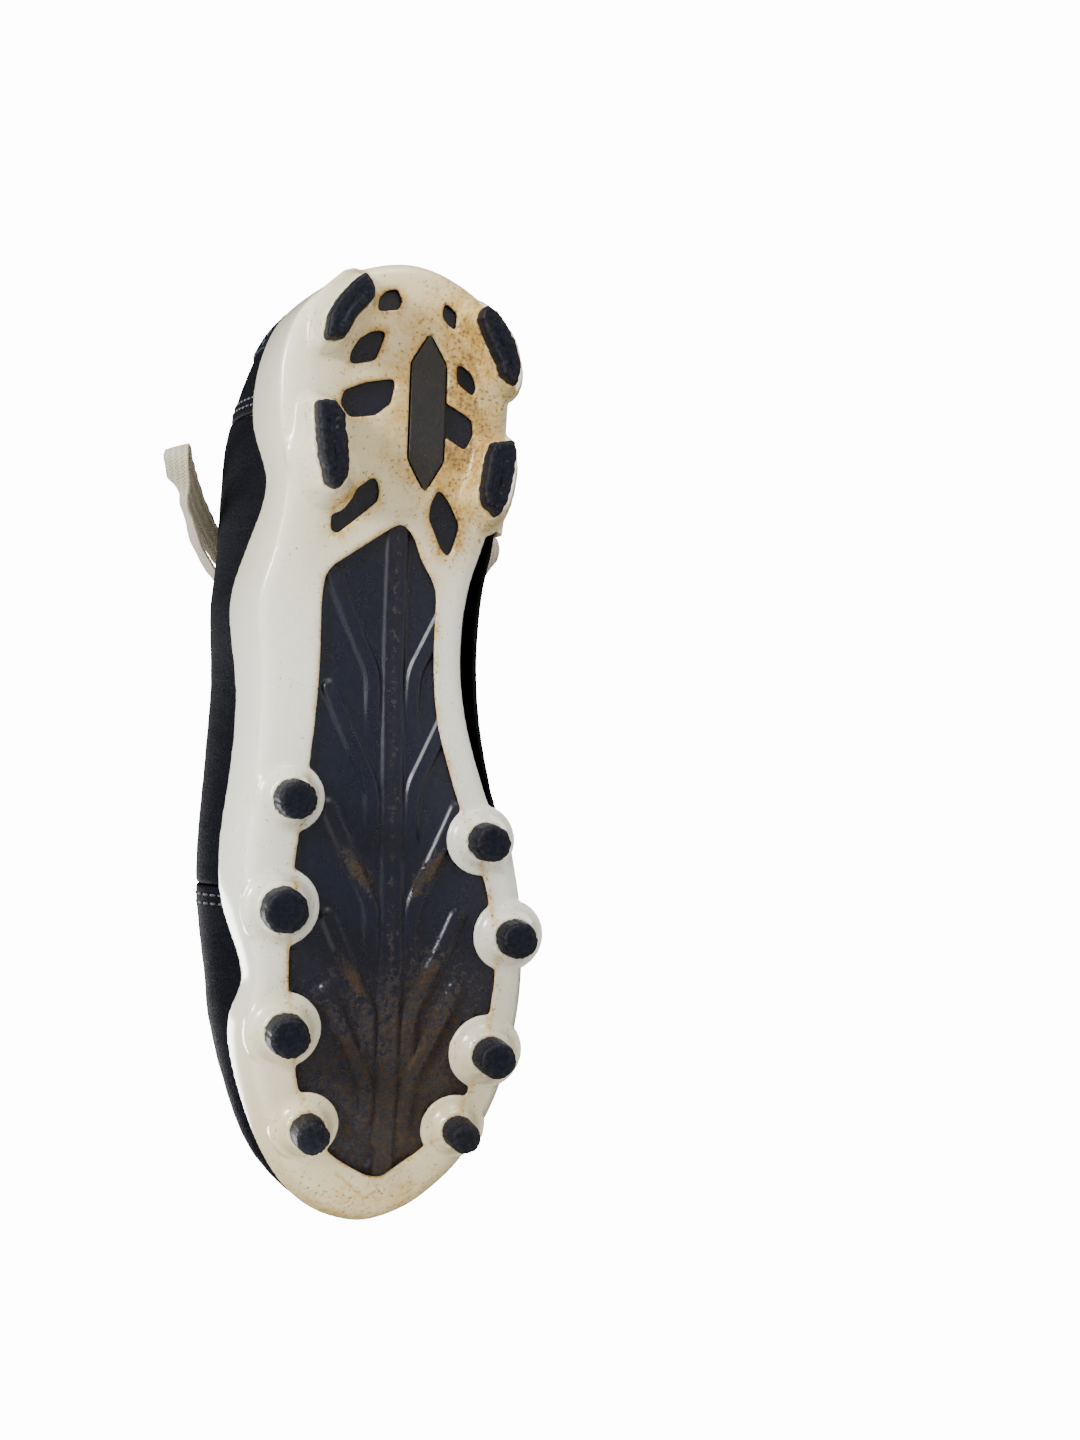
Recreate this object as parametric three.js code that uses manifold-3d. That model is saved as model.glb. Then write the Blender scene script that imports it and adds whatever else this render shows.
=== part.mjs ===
// A low-cut soccer cleat for the left foot, as an assembly of its separate pieces.
// Units are millimetres. +X runs from heel to toe, +Y to the lateral side, +Z up, and the
// stud tips stand on Z = 0. The pieces are worked out in a heel frame whose X starts at the
// back of the heel, and the group is centred over its own footprint at the end.
import * as THREE from "three";
import { mergeVertices } from "three/addons/utils/BufferGeometryUtils.js";
import Module from "manifold-3d";

// ---- driving dimensions ----
const soleLength = 277; // outsole, back of heel to toe
const soleWidth = 84; // outsole, across the ball of the foot
const studReach = 12.5; // ground to the underside of the plate
const frameThick = 1.7; // light frame of the outsole
const baseThick = 1.8; // dark base plate under the foot
const boardThick = 1.2; // lasting board
const linerThick = 4; // removable-type foam sockliner
const upperThick = 1.4; // outer skin of the upper
const overlayThick = 0.9; // reinforcement laid on the upper
const liningThick = 1.2; // textile lining
const stiffenerThick = 1.1; // heel counter and toe puff
const foamThick = 4; // collar padding at its fullest
const tongueThick = 3.4;
const wallThick = 1.6; // side wall of the frame
const footInset = 2.2; // the upper's bottom edge, in from the plate's edge
const seamGap = 0.35; // clearance kept between neighbouring pieces
const heelTop = 92; // top of the collar at the back, above ground
const instepTop = 117; // top of the tongue, above ground
const toeBox = 50; // top of the toe box where it rounds down, above ground
const laceDiameter = 2.4; // round equivalent of the flat lace
const eyeletRadius = 3.2;
const eyeletPairs = 6;
const pedestalRise = 4.6; // height of the light pedestal round a stud
const bladePedestalRise = 7.2;
const ribRise = 0.9; // ribs of the base plate, down into the frame's windows
const aglet = { length: 18, radius: 1.9 };

const halfWidth = soleWidth / 2;
const wasm = await Module();
wasm.setup();

// ---- small curve kit ----
// A smooth curve through knots [t, value, ...]; with a period it closes on itself.
function through(knots, period = 0) {
  const count = knots.length;
  const knot = (i) => {
    if (!period) return knots[Math.min(Math.max(i, 0), count - 1)];
    const turns = Math.floor(i / count);
    const source = knots[i - turns * count];
    return [source[0] + turns * period, ...source.slice(1)];
  };
  const slope = (i, k) => {
    const span = knot(i + 1)[0] - knot(i - 1)[0];
    return span ? (knot(i + 1)[k] - knot(i - 1)[k]) / span : 0;
  };
  return (t) => {
    let u = t;
    if (period) u = t - period * Math.floor((t - knots[0][0]) / period);
    else u = Math.min(Math.max(t, knots[0][0]), knots[count - 1][0]);
    let i = 0;
    while (i < count - (period ? 1 : 2) && u >= knot(i + 1)[0]) i += 1;
    const [from, to] = [knot(i), knot(i + 1)];
    const span = to[0] - from[0];
    const f = (u - from[0]) / span;
    const f2 = f * f;
    const f3 = f2 * f;
    return from.slice(1).map((value, k) =>
      (2 * f3 - 3 * f2 + 1) * value + (f3 - 2 * f2 + f) * span * slope(i, k + 1) +
      (3 * f2 - 2 * f3) * to[k + 1] + (f3 - f2) * span * slope(i + 1, k + 1));
  };
}

// ---- plan of the outsole ----
// s runs round the shoe: 0 at the heel, 1 at the toe along the lateral side, and 0 to -1 along
// the medial side. Knots are [s, share of length, share of half width].
const edgeShares = through([
  [-0.975, 0.989, -0.29], [-0.93, 0.962, -0.5], [-0.885, 0.924, -0.7], [-0.82, 0.856, -0.905],
  [-0.74, 0.769, -1.01], [-0.66, 0.679, -1.0], [-0.6, 0.614, -0.915], [-0.53, 0.538, -0.725],
  [-0.46, 0.469, -0.595], [-0.4, 0.404, -0.545], [-0.34, 0.336, -0.575], [-0.27, 0.264, -0.7],
  [-0.2, 0.18, -0.765], [-0.13, 0.098, -0.785], [-0.08, 0.042, -0.66], [-0.035, 0.007, -0.34],
  [0, -0.002, -0.04],
  [0.05, 0.014, 0.355], [0.1, 0.049, 0.665], [0.155, 0.101, 0.83], [0.215, 0.166, 0.857],
  [0.27, 0.227, 0.805], [0.335, 0.296, 0.87], [0.385, 0.354, 0.965], [0.46, 0.437, 0.925],
  [0.54, 0.527, 0.948], [0.62, 0.614, 1.0], [0.67, 0.671, 0.995], [0.73, 0.74, 0.91],
  [0.775, 0.787, 0.955], [0.83, 0.848, 0.87], [0.885, 0.91, 0.702], [0.94, 0.96, 0.475],
  [0.975, 0.989, 0.23], [1, 1.0, -0.04],
], 2);
// Middle line that every piece of the sole is spanned from: [s, share of length].
const spineShare = through([[0, 0.085], [0.155, 0.125], [0.5, 0.485], [0.8, 0.775], [1, 0.885]]);
// Height of the plate's underside over its lowest point: [share of length, mm].
const plateRise = through([
  [-0.02, 3.6], [0.02, 1.2], [0.07, 0.1], [0.2, 0.2], [0.4, 4], [0.54, 2.2], [0.68, 0], [0.79, 1.2],
  [0.88, 4.2], [0.95, 8.6], [1.02, 14.5],
]);
const underside = (x) => studReach + plateRise(x / soleLength)[0];

function edgePoint(s) {
  const [along, across] = edgeShares(s);
  return new THREE.Vector2(along * soleLength, across * halfWidth);
}
// The plate itself ends this far inside that outline, and the side wall rises from there.
const rimInset = (s) => Math.max(0, -flare(s)[0] - footInset);
const spinePoint = (s) => new THREE.Vector2(spineShare(Math.abs(s))[0] * soleLength, 0);
// A point on the line from the sole's edge towards its spine, `inset` mm in from the edge.
function insetPoint(s, inset) {
  const edge = edgePoint(s);
  const inward = spinePoint(s).sub(edge);
  return edge.add(inward.setLength(Math.min(inset, inward.length())));
}

// ---- surface of the upper ----
// How far the upper's bottom edge stands out from the sole's widest outline: it overhangs the
// narrow medial waist, and sits well inside the rounded lateral side wall. Knots are [s, mm].
const flare = through([
  [-0.75, -2.2], [-0.62, -1], [-0.52, 3.5], [-0.4, 6], [-0.3, 4], [-0.2, -1], [-0.1, -2.2],
  [0, -2.2], [0.1, -3.4], [0.2, -5], [0.35, -6], [0.6, -6], [0.85, -6], [0.94, -4.4], [1, -2.8],
], 2);
// Bulge of the wall over its bottom edge: [s, mm, share of the height at which it is fullest].
const bulge = through([
  [-0.9, 9.5, 0.3], [-0.82, 11.3, 0.31], [-0.7, 12.5, 0.32], [-0.6, 12, 0.33], [-0.5, 10, 0.33],
  [-0.3, 9.5, 0.34], [-0.1, 6.5, 0.36], [0, 4.5, 0.36], [0.1, 6.5, 0.35], [0.155, 7.7, 0.34],
  [0.215, 12.2, 0.33], [0.27, 16, 0.33], [0.335, 14.5, 0.33], [0.385, 12.5, 0.33], [0.46, 14.5, 0.33],
  [0.54, 16, 0.33], [0.67, 16.5, 0.33], [0.73, 17.5, 0.33], [0.775, 14.2, 0.33], [0.83, 13, 0.32],
  [0.885, 12.5, 0.31], [0.94, 9.5, 0.3], [1, 5.5, 0.29],
], 2);
const bulgeStart = 2.5; // power with which the bulge sets in from the bottom edge
// Ridge of the closed form: [|s|, share of length, mm to the lateral side, share of instep top].
const ridgeShares = through([
  [0, 0.055, 0, 0.82], [0.12, 0.1, 0, 0.95], [0.25, 0.2, 0, 1.05], [0.36, 0.31, 0, 1.04],
  [0.42, 0.385, -0.5, 0.937], [0.48, 0.455, -1, 0.83], [0.55, 0.54, -1.5, 0.725],
  [0.63, 0.625, -2.5, 0.635], [0.72, 0.705, -3.5, 0.572], [0.82, 0.785, -4, 0.515],
  [0.91, 0.845, -3.5, 0.47], [1, 0.895, -3, 0.43],
]);
// The wall turns through this share of a right angle by the ridge: less at the toe, which slopes.
const arch = through([[0, 1], [0.7, 1], [0.76, 1], [0.88, 0.86], [0.95, 0.72], [1, 0.66]]);
const squareness = through([[0, 0.62], [0.3, 0.62], [0.6, 0.85], [0.8, 0.85], [1, 0.8]]);
const featherRise = frameThick + 0.5; // bottom edge of the upper over the plate's underside

function ridgePoint(s) {
  const [along, across, high] = ridgeShares(Math.abs(s));
  const toeBlend = THREE.MathUtils.smoothstep(Math.abs(s), 0.72, 1);
  const z = THREE.MathUtils.lerp(high * instepTop, (high / 0.43) * toeBox, toeBlend);
  return new THREE.Vector3(along * soleLength, across, z);
}
// A point of the upper's outer surface: v is 0 at the bottom edge and 1 on the ridge.
function formPoint(s, v) {
  if (v > 1) return formPoint(-s, 2 - v);
  const around = s - 2 * Math.floor((s + 1) / 2);
  const foot = insetPoint(around, -flare(around)[0]);
  const footHeight = underside(foot.x) + featherRise;
  const ridge = ridgePoint(around);
  const across = new THREE.Vector2(ridge.x - foot.x, ridge.y - foot.y);
  const [swell, fullest] = bulge(around);
  const whole = (Math.min(arch(Math.abs(around))[0], 1) * Math.PI) / 2;
  const angle = v * whole;
  const power = squareness(Math.abs(around))[0];
  const inwards = (1 - Math.cos(angle) ** power) / (1 - Math.cos(whole) ** power);
  const height = v / fullest;
  const swelling = swell * height ** bulgeStart * Math.exp(bulgeStart * (1 - height)) * (1 - v ** 3);
  const out = across.clone().setLength(-swelling);
  return new THREE.Vector3(
    foot.x + across.x * inwards + out.x,
    foot.y + across.y * inwards + out.y,
    footHeight + (ridge.z - footHeight) * (Math.sin(angle) / Math.sin(whole)) ** 0.92,
  );
}
function formNormal(s, v) {
  const nearEnd = Math.abs(s) > 0.97 || Math.abs(s) < 0.02;
  const at = Math.max(nearEnd ? Math.min(v, 0.94) : v, 0.02);
  const along = formPoint(s + 0.008, at).sub(formPoint(s - 0.008, at));
  const up = formPoint(s, at + 0.012).sub(formPoint(s, at - 0.012));
  return up.cross(along).normalize();
}
const skinPoint = (s, v, offset) => formPoint(s, v).addScaledVector(formNormal(s, v), offset);

// Top line of the quarters and collar: [|s|, v]. It meets the ridge at the front of the throat.
const throatFront = 0.645;
const topLine = through([
  [0, 0.62], [0.06, 0.6], [0.14, 0.49], [0.22, 0.42], [0.3, 0.44], [0.35, 0.53], [0.385, 0.68],
  [0.43, 0.775], [0.5, 0.79], [0.57, 0.8], [0.615, 0.84], [0.635, 0.91], [throatFront, 1],
]);
const topEdge = (s) => topLine(Math.abs(s))[0] * (heelTop / 92);

// ---- solids ----
// A closed solid from triangles over points, turned to face outwards.
function solidOf(points, faces) {
  const positions = [];
  faces.forEach((face) => face.forEach((i) => positions.push(points[i].x, points[i].y, points[i].z)));
  const loose = new THREE.BufferGeometry();
  loose.setAttribute("position", new THREE.Float32BufferAttribute(positions, 3));
  return solidFrom(loose);
}
function solidFrom(geometry) {
  const bare = geometry.index ? geometry.toNonIndexed() : geometry.clone();
  bare.deleteAttribute("normal");
  bare.deleteAttribute("uv");
  const merged = mergeVertices(bare, 1e-3);
  const triVerts = [];
  for (let i = 0; i < merged.index.count; i += 3) {
    const [a, b, c] = [0, 1, 2].map((k) => merged.index.getX(i + k));
    if (a !== b && b !== c && c !== a) triVerts.push(a, b, c);
  }
  const vertProperties = merged.attributes.position.array;
  const made = new wasm.Manifold(new wasm.Mesh({
    numProp: 3, vertProperties, triVerts: new Uint32Array(triVerts),
  }));
  if (made.volume() > 0) return made;
  for (let i = 0; i < triVerts.length; i += 3) {
    [triVerts[i + 1], triVerts[i + 2]] = [triVerts[i + 2], triVerts[i + 1]];
  }
  return new wasm.Manifold(new wasm.Mesh({
    numProp: 3, vertProperties, triVerts: new Uint32Array(triVerts),
  }));
}
function geometryOf(solid) {
  const mesh = solid.getMesh();
  const positions = new Float32Array(mesh.numVert * 3);
  for (let i = 0; i < mesh.numVert; i += 1) {
    const start = i * mesh.numProp;
    positions.set(mesh.vertProperties.subarray(start, start + 3), i * 3);
  }
  const geometry = new THREE.BufferGeometry();
  geometry.setAttribute("position", new THREE.BufferAttribute(positions, 3));
  geometry.setIndex(new THREE.BufferAttribute(mesh.triVerts, 1));
  geometry.computeVertexNormals();
  return geometry;
}
// All layers of the shoe are cut into facets along the same lines, which keeps their gaps even.
const stationStep = 0.025;
const stations = Array.from({ length: 81 }, (_, i) => (i - 40) * stationStep)
  .filter((s) => Math.abs(s) > 0.65 || Math.abs(s) < 0.16 || Math.round(s / stationStep) % 2 === 0);
const levels = [0, 0.06, 0.12, 0.21, 0.31, 0.43, 0.56, 0.7, 0.85, 1];
function between(lines, from, to) {
  const margin = 0.2 * stationStep;
  return [from, ...lines.filter((line) => line > from + margin && line < to - margin), to];
}
// A sheet of `point(i, j, level)` for columns i and rows j, closed between level 0 and level 1.
// `zipped` says that the last column folds onto itself, as a shell does at the toe.
function sheetSolid(point, columns, rows, zipped = false) {
  const points = [];
  const faces = [];
  const index = (i, j, level) => (level * (columns + 1) + i) * (rows + 1) + j;
  for (const level of [0, 1]) {
    for (let i = 0; i <= columns; i += 1) {
      for (let j = 0; j <= rows; j += 1) points.push(point(i, j, level));
    }
  }
  const quad = (a, b, c, d) => faces.push([a, b, c], [a, c, d]);
  for (let i = 0; i < columns; i += 1) {
    for (let j = 0; j < rows; j += 1) {
      quad(index(i, j, 0), index(i, j + 1, 0), index(i + 1, j + 1, 0), index(i + 1, j, 0));
      quad(index(i, j, 1), index(i + 1, j, 1), index(i + 1, j + 1, 1), index(i, j + 1, 1));
    }
    quad(index(i, 0, 0), index(i + 1, 0, 0), index(i + 1, 0, 1), index(i, 0, 1));
    quad(index(i, rows, 0), index(i, rows, 1), index(i + 1, rows, 1), index(i + 1, rows, 0));
  }
  for (let j = 0; j < rows; j += 1) {
    quad(index(0, j, 0), index(0, j, 1), index(0, j + 1, 1), index(0, j + 1, 0));
    if (!zipped) {
      quad(index(columns, j, 0), index(columns, j + 1, 0), index(columns, j + 1, 1), index(columns, j, 1));
    }
  }
  return solidOf(points, faces);
}
// A solid through rings of the same number of points, closed by a fan at both ends.
function ringSolid(rings) {
  const sides = rings[0].length;
  const points = rings.flat();
  const faces = [];
  for (let k = 0; k + 1 < rings.length; k += 1) {
    for (let i = 0; i < sides; i += 1) {
      const next = (i + 1) % sides;
      const [a, b, c, d] = [k * sides + i, k * sides + next, (k + 1) * sides + next, (k + 1) * sides + i];
      faces.push([a, b, c], [a, c, d]);
    }
  }
  const last = (rings.length - 1) * sides;
  for (let i = 1; i + 1 < sides; i += 1) {
    faces.push([0, i + 1, i], [last, last + i, last + i + 1]);
  }
  return solidOf(points, faces);
}
// A corner-rounded outline pushed out by `by` mm; outlines run round a convex shape.
function grown(outline, by) {
  const count = outline.length;
  const centre = outline.reduce((sum, p) => sum.add(p), new THREE.Vector2()).divideScalar(count);
  return outline.map((p, i) => {
    const before = p.clone().sub(outline[(i + count - 1) % count]).normalize();
    const after = outline[(i + 1) % count].clone().sub(p).normalize();
    const normal = new THREE.Vector2(before.y + after.y, -before.x - after.x).normalize();
    if (normal.dot(p.clone().sub(centre)) < 0) normal.negate();
    const stretch = Math.min(1 / Math.max(Math.cos(before.angleTo(after) / 2), 0.5), 1.3);
    return p.clone().addScaledVector(normal, by * stretch);
  });
}
// A vertical prism over a plan outline.
function prism(outline, low, high) {
  const block = new THREE.ExtrudeGeometry(new THREE.Shape(outline), {
    depth: high - low, bevelEnabled: false,
  });
  return solidFrom(block.translate(0, 0, low));
}

// ---- sole slabs ----
const slabInset = 9; // every slab bends along this line, in from the plate's edge
// A slab of the sole between two heights, each a function of (x, mm in from the plate's edge).
function soleSlab(insets, low, high) {
  const around = stations.slice(0, -1);
  const rows = [...insets, slabInset, Infinity];
  const count = around.length;
  const points = [];
  const faces = [];
  for (const height of [low, high]) {
    around.forEach((s) => rows.forEach((inset) => {
      const whole = spinePoint(s).distanceTo(edgePoint(s)) - rimInset(s);
      const d = Math.min(inset, whole);
      const plan = insetPoint(s, rimInset(s) + d);
      points.push(new THREE.Vector3(plan.x, plan.y, height(plan.x, d)));
    }));
  }
  const index = (i, j, level) => (level * count + (i % count)) * rows.length + j;
  for (let i = 0; i < count; i += 1) {
    for (let j = 0; j + 1 < rows.length; j += 1) {
      const [a, b, c, d] = [index(i, j, 0), index(i, j + 1, 0), index(i + 1, j + 1, 0), index(i + 1, j, 0)];
      const lift = count * rows.length;
      faces.push([a, b, c], [a, c, d], [a + lift, c + lift, b + lift], [a + lift, d + lift, c + lift]);
    }
    const [a, b, c, d] = [index(i, 0, 0), index(i + 1, 0, 0), index(i + 1, 0, 1), index(i, 0, 1)];
    faces.push([a, b, c], [a, c, d]);
  }
  return solidOf(points, faces);
}
// Rounding of the plate's lower edge: rise of the surface at `d` mm in from the edge.
const edgeRound = 4;
const edgeRise = 2.2;
const edgeLift = (d) => edgeRise * Math.max(0, 1 - d / edgeRound) ** 2.6;

// ---- studs ----
// Round studs: [name, share of length, share of half width, tip radius, pedestal radius, reach].
const roundStuds = [
  ["lateral_1", 0.554, 0.626, 5.3, 8.6, 1], ["lateral_2", 0.665, 0.676, 6.1, 9.9, 1],
  ["lateral_3", 0.791, 0.624, 5.6, 9.6, 0.98], ["lateral_4", 0.893, 0.44, 4.7, 8.6, 0.86],
  ["medial_1", 0.595, -0.714, 5.2, 8.8, 1], ["medial_2", 0.695, -0.929, 5.2, 9.1, 1],
  ["medial_3", 0.819, -0.805, 5.2, 9.6, 0.98], ["medial_4", 0.9, -0.61, 4.3, 8.3, 0.86],
];
// Heel blades: the outline of the tip as shares of length and half width.
const heelBlades = [
  ["lateral_rear", [[0.023, 0.305], [0.035, 0.238], [0.048, 0.233], [0.067, 0.343],
    [0.09, 0.414], [0.094, 0.548], [0.069, 0.529], [0.044, 0.433]]],
  ["lateral_front", [[0.154, 0.595], [0.155, 0.467], [0.168, 0.405], [0.199, 0.374],
    [0.23, 0.367], [0.242, 0.438], [0.238, 0.51], [0.199, 0.567]]],
  ["medial_rear", [[0.043, -0.533], [0.058, -0.495], [0.077, -0.557], [0.099, -0.638],
    [0.114, -0.671], [0.122, -0.771], [0.105, -0.795], [0.075, -0.738], [0.052, -0.629]]],
  ["medial_front", [[0.183, -0.614], [0.211, -0.576], [0.243, -0.557], [0.261, -0.671],
    [0.238, -0.738], [0.208, -0.776], [0.179, -0.781]]],
];
const studSides = 12;
const inPlan = (pairs) => pairs.map(([a, b]) => new THREE.Vector2(a * soleLength, b * halfWidth));
const circle = (x, y, radius) => Array.from({ length: studSides }, (_, i) => {
  const turn = (i / studSides) * 2 * Math.PI;
  return new THREE.Vector2(x + radius * Math.cos(turn), y + radius * Math.sin(turn));
});
const ringAt = (outline, z) => outline.map((p) => new THREE.Vector3(p.x, p.y, z));

// Every stud: its name, its outline at the tip, its plan centre and the height of its pedestal.
const studs = [
  ...heelBlades.map(([name, pairs]) => {
    const outline = inPlan(pairs);
    const centre = outline.reduce((sum, p) => sum.add(p), new THREE.Vector2()).divideScalar(outline.length);
    return {
      name: `heel_blade_${name}`, centre, rise: bladePedestalRise, spread: 4.6, reach: 1, outline,
    };
  }),
  ...roundStuds.map(([name, along, across, radius, pedestal, reach]) => {
    const centre = new THREE.Vector2(along * soleLength, across * halfWidth);
    return {
      name: `stud_${name}`, centre, rise: pedestalRise, spread: pedestal - radius, reach,
      outline: circle(centre.x, centre.y, radius),
    };
  }),
];
const shankInset = 1.6; // the shank is this much slimmer than the tip
const tipHeight = (stud) => (1 - stud.reach) * underside(stud.centre.x);
// A dark stud: its tip, and the slimmer shank that is set into the pedestal.
function studSolid(stud) {
  const root = underside(stud.centre.x);
  const tip = tipHeight(stud);
  const shoulder = root - stud.rise - seamGap;
  return ringSolid([
    ringAt(grown(stud.outline, -shankInset), root + 0.4),
    ringAt(grown(stud.outline, -shankInset), shoulder),
    ringAt(grown(stud.outline, 0.3), shoulder),
    ringAt(stud.outline, tip + 0.8),
    ringAt(grown(stud.outline, -0.8), tip),
  ]);
}
// The light pedestal that flares from the stud up into the plate.
function pedestal(stud) {
  const root = underside(stud.centre.x);
  const onPlate = (outline, depth) => outline.map(
    (p) => new THREE.Vector3(p.x, p.y, underside(p.x) + depth),
  );
  return ringSolid([
    onPlate(grown(stud.outline, stud.spread + 0.4), frameThick / 2),
    onPlate(grown(stud.outline, stud.spread), -0.6),
    ringAt(grown(stud.outline, stud.spread * 0.45), root - stud.rise * 0.6),
    ringAt(grown(stud.outline, 0.7), root - stud.rise),
  ]);
}
function socket(stud) {
  const root = underside(stud.centre.x);
  const outline = grown(stud.outline, seamGap - shankInset);
  return prism(outline, root - stud.rise - 1, root + frameThick + 2);
}

// ---- windows of the frame ----
const heelWindows = [
  [[0.031, 0.075], [0.029, 0.02], [0.037, -0.005], [0.046, 0.01], [0.05, 0.15], [0.038, 0.12]],
  [[0.073, 0.1], [0.101, 0.165], [0.107, 0.32], [0.098, 0.31], [0.084, 0.26], [0.076, 0.185]],
  [[0.038, -0.33], [0.047, -0.395], [0.064, -0.45], [0.059, -0.37], [0.051, -0.32]],
  [[0.122, 0.025], [0.144, 0.05], [0.157, 0.15], [0.161, 0.315], [0.15, 0.37], [0.138, 0.35], [0.129, 0.22]],
  [[0.1, -0.43], [0.109, -0.515], [0.119, -0.54], [0.128, -0.535], [0.117, -0.435]],
  [[0.14, -0.307], [0.147, -0.41], [0.157, -0.524], [0.17, -0.536], [0.185, -0.49], [0.174, -0.365],
    [0.162, -0.31]],
  [[0.224, 0.133], [0.234, 0.107], [0.245, 0.11], [0.28, 0.371], [0.278, 0.4], [0.258, 0.395]],
  [[0.233, -0.326], [0.242, -0.381], [0.267, -0.469], [0.297, -0.41], [0.286, -0.357],
    [0.261, -0.281], [0.246, -0.288]],
];
// The long middle window, whose border steps round the stud pedestals.
const middleWindow = [
  [0.267, -0.08], [0.277, 0.03], [0.294, 0.186], [0.316, 0.395], [0.33, 0.438], [0.353, 0.448],
  [0.415, 0.44], [0.471, 0.462], [0.526, 0.502], [0.589, 0.555], [0.628, 0.588], [0.7, 0.602],
  [0.757, 0.598], [0.827, 0.531], [0.858, 0.488], [0.923, 0.274], [0.951, -0.019], [0.953, -0.133],
  [0.94, -0.245], [0.92, -0.431], [0.873, -0.669], [0.857, -0.71], [0.786, -0.819], [0.731, -0.852],
  [0.665, -0.79], [0.639, -0.75], [0.565, -0.567], [0.512, -0.455], [0.475, -0.388], [0.432, -0.357],
  [0.39, -0.348], [0.342, -0.35], [0.329, -0.331], [0.303, -0.224], [0.28, -0.167],
];
// Badge in the middle of the heel: a plain long hexagon, with no mark on it.
const badge = [
  [0.235, -0.221], [0.202, -0.088], [0.101, -0.088], [0.068, -0.221], [0.101, -0.354], [0.202, -0.354],
];

// ---- the sole's pieces ----
const wallGap = 0.5; // between the side wall and the upper
const rimWidth = 1.3;
const rimHeight = 0.9;
// Height of the side wall that cups the upper, as v of the upper: low at the flex notches.
const wallTop = through([
  [-1, 0.17], [-0.8, 0.14], [-0.64, 0.11], [-0.56, 0.045], [-0.3, 0.045], [-0.24, 0.12], [-0.1, 0.14],
  [0, 0.15], [0.12, 0.15], [0.2, 0.13], [0.27, 0.09], [0.36, 0.135], [0.5, 0.12], [0.64, 0.13],
  [0.73, 0.09], [0.79, 0.13], [0.9, 0.14],
], 2);
function sideWall(from, to) {
  const columns = between(stations, from, to);
  return sheetSolid((i, j, level) => {
    const s = columns[i];
    return skinPoint(s, Math.min(levels[j], wallTop(s)[0]), wallGap + level * wallThick);
  }, columns.length - 1, 3);
}
function outsoleFrame() {
  let frame = soleSlab(
    [0, rimWidth, rimWidth + 0.2, edgeRound],
    (x, d) => underside(x) + edgeLift(d),
    (x, d) => underside(x) + frameThick + (d <= rimWidth ? rimHeight : 0),
  );
  frame = frame.add(sideWall(-0.275, 1)).add(sideWall(-1.01, -0.575));
  studs.forEach((stud) => { frame = frame.add(pedestal(stud)); });
  [...heelWindows, badge].forEach((pairs) => {
    frame = frame.subtract(prism(inPlan(pairs), 0, studReach + 10));
  });
  let middle = prism(inPlan(middleWindow), 0, studReach + 20);
  studs.forEach((stud) => {
    middle = middle.subtract(prism(grown(stud.outline, stud.spread + 0.6), -1, studReach + 21));
  });
  frame = frame.subtract(middle);
  studs.forEach((stud) => { frame = frame.subtract(socket(stud)); });
  return frame;
}
const layerStack = {
  base: [frameThick + seamGap, frameThick + seamGap + baseThick],
};
layerStack.board = [layerStack.base[1] + seamGap, layerStack.base[1] + seamGap + boardThick];
layerStack.liner = [layerStack.board[1] + seamGap, layerStack.board[1] + seamGap + linerThick];
const slabOf = (layer, inset) => soleSlab(
  [inset], (x) => underside(x) + layerStack[layer][0], (x) => underside(x) + layerStack[layer][1],
);
// Dark base plate with a long spine and slanting ribs that show through the middle window.
const spineRib = [[0.29, -0.03], [0.93, -0.13]];
// Where each pair of ribs meets the spine, as a share of length, and how far out to the lateral and
// to the medial side it reaches, as shares of half width.
const ribPairs = [
  [0.43, 0.34, -0.22], [0.55, 0.38, -0.28], [0.67, 0.38, -0.36], [0.78, 0.36, -0.5], [0.86, 0.25, -0.48],
];
const ribSweep = 0.085; // how far back of its foot a rib ends, share of length
function basePlate() {
  let base = slabOf("base", 4.2);
  const rib = (from, to, width) => {
    const [a, b] = inPlan([from, to]);
    const side = b.clone().sub(a).setLength(width / 2);
    const across = new THREE.Vector2(-side.y, side.x);
    const steps = 4;
    return sheetSolid((i, j, level) => {
      const plan = a.clone().lerp(b, i / steps).addScaledVector(across, (2 * j) / 3 - 1);
      const depth = ribRise * (j === 1 || j === 2 ? 1 : 0.3);
      const z = underside(plan.x) + layerStack.base[0] + (level ? baseThick / 2 : -depth);
      return new THREE.Vector3(plan.x, plan.y, z);
    }, steps, 3);
  };
  base = base.add(rib(spineRib[0], spineRib[1], 6.6));
  ribPairs.forEach(([foot, lateral, medial]) => {
    base = base.add(rib([foot, 0.02], [foot - ribSweep, lateral], 4));
    base = base.add(rib([foot, -0.16], [foot - ribSweep, medial], 4));
  });
  return base;
}
function heelBadge() {
  const outline = inPlan(badge);
  const low = underside(outline[0].x);
  return ringSolid([
    ringAt(grown(outline, -seamGap), low + frameThick - 0.9),
    ringAt(grown(outline, -seamGap), low + 0.35),
    ringAt(grown(outline, -1.2), low - 0.25),
  ]);
}
const lastingBoard = () => slabOf("board", 4.8);
// The sockliner is dished: its border stands up against the lining.
const linerInset = 7.8;
const linerDish = 1.6;
const sockliner = () => soleSlab(
  [linerInset],
  (x) => underside(x) + layerStack.liner[0],
  (x, d) => underside(x) + layerStack.liner[1] + (d <= slabInset ? linerDish : 0),
);

// ---- the upper's pieces ----
// A shell of the upper for s from `from` to `to`, between two heights and two offsets.
function shell({ from, to, low, high, inner, outer }) {
  const columns = between(stations, from, to);
  return sheetSolid((i, j, level) => {
    const s = columns[i];
    const v = THREE.MathUtils.clamp(levels[j], low(s), high(s));
    return skinPoint(s, v, level ? outer(s, v) : inner(s, v));
  }, columns.length - 1, levels.length - 1);
}
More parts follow.
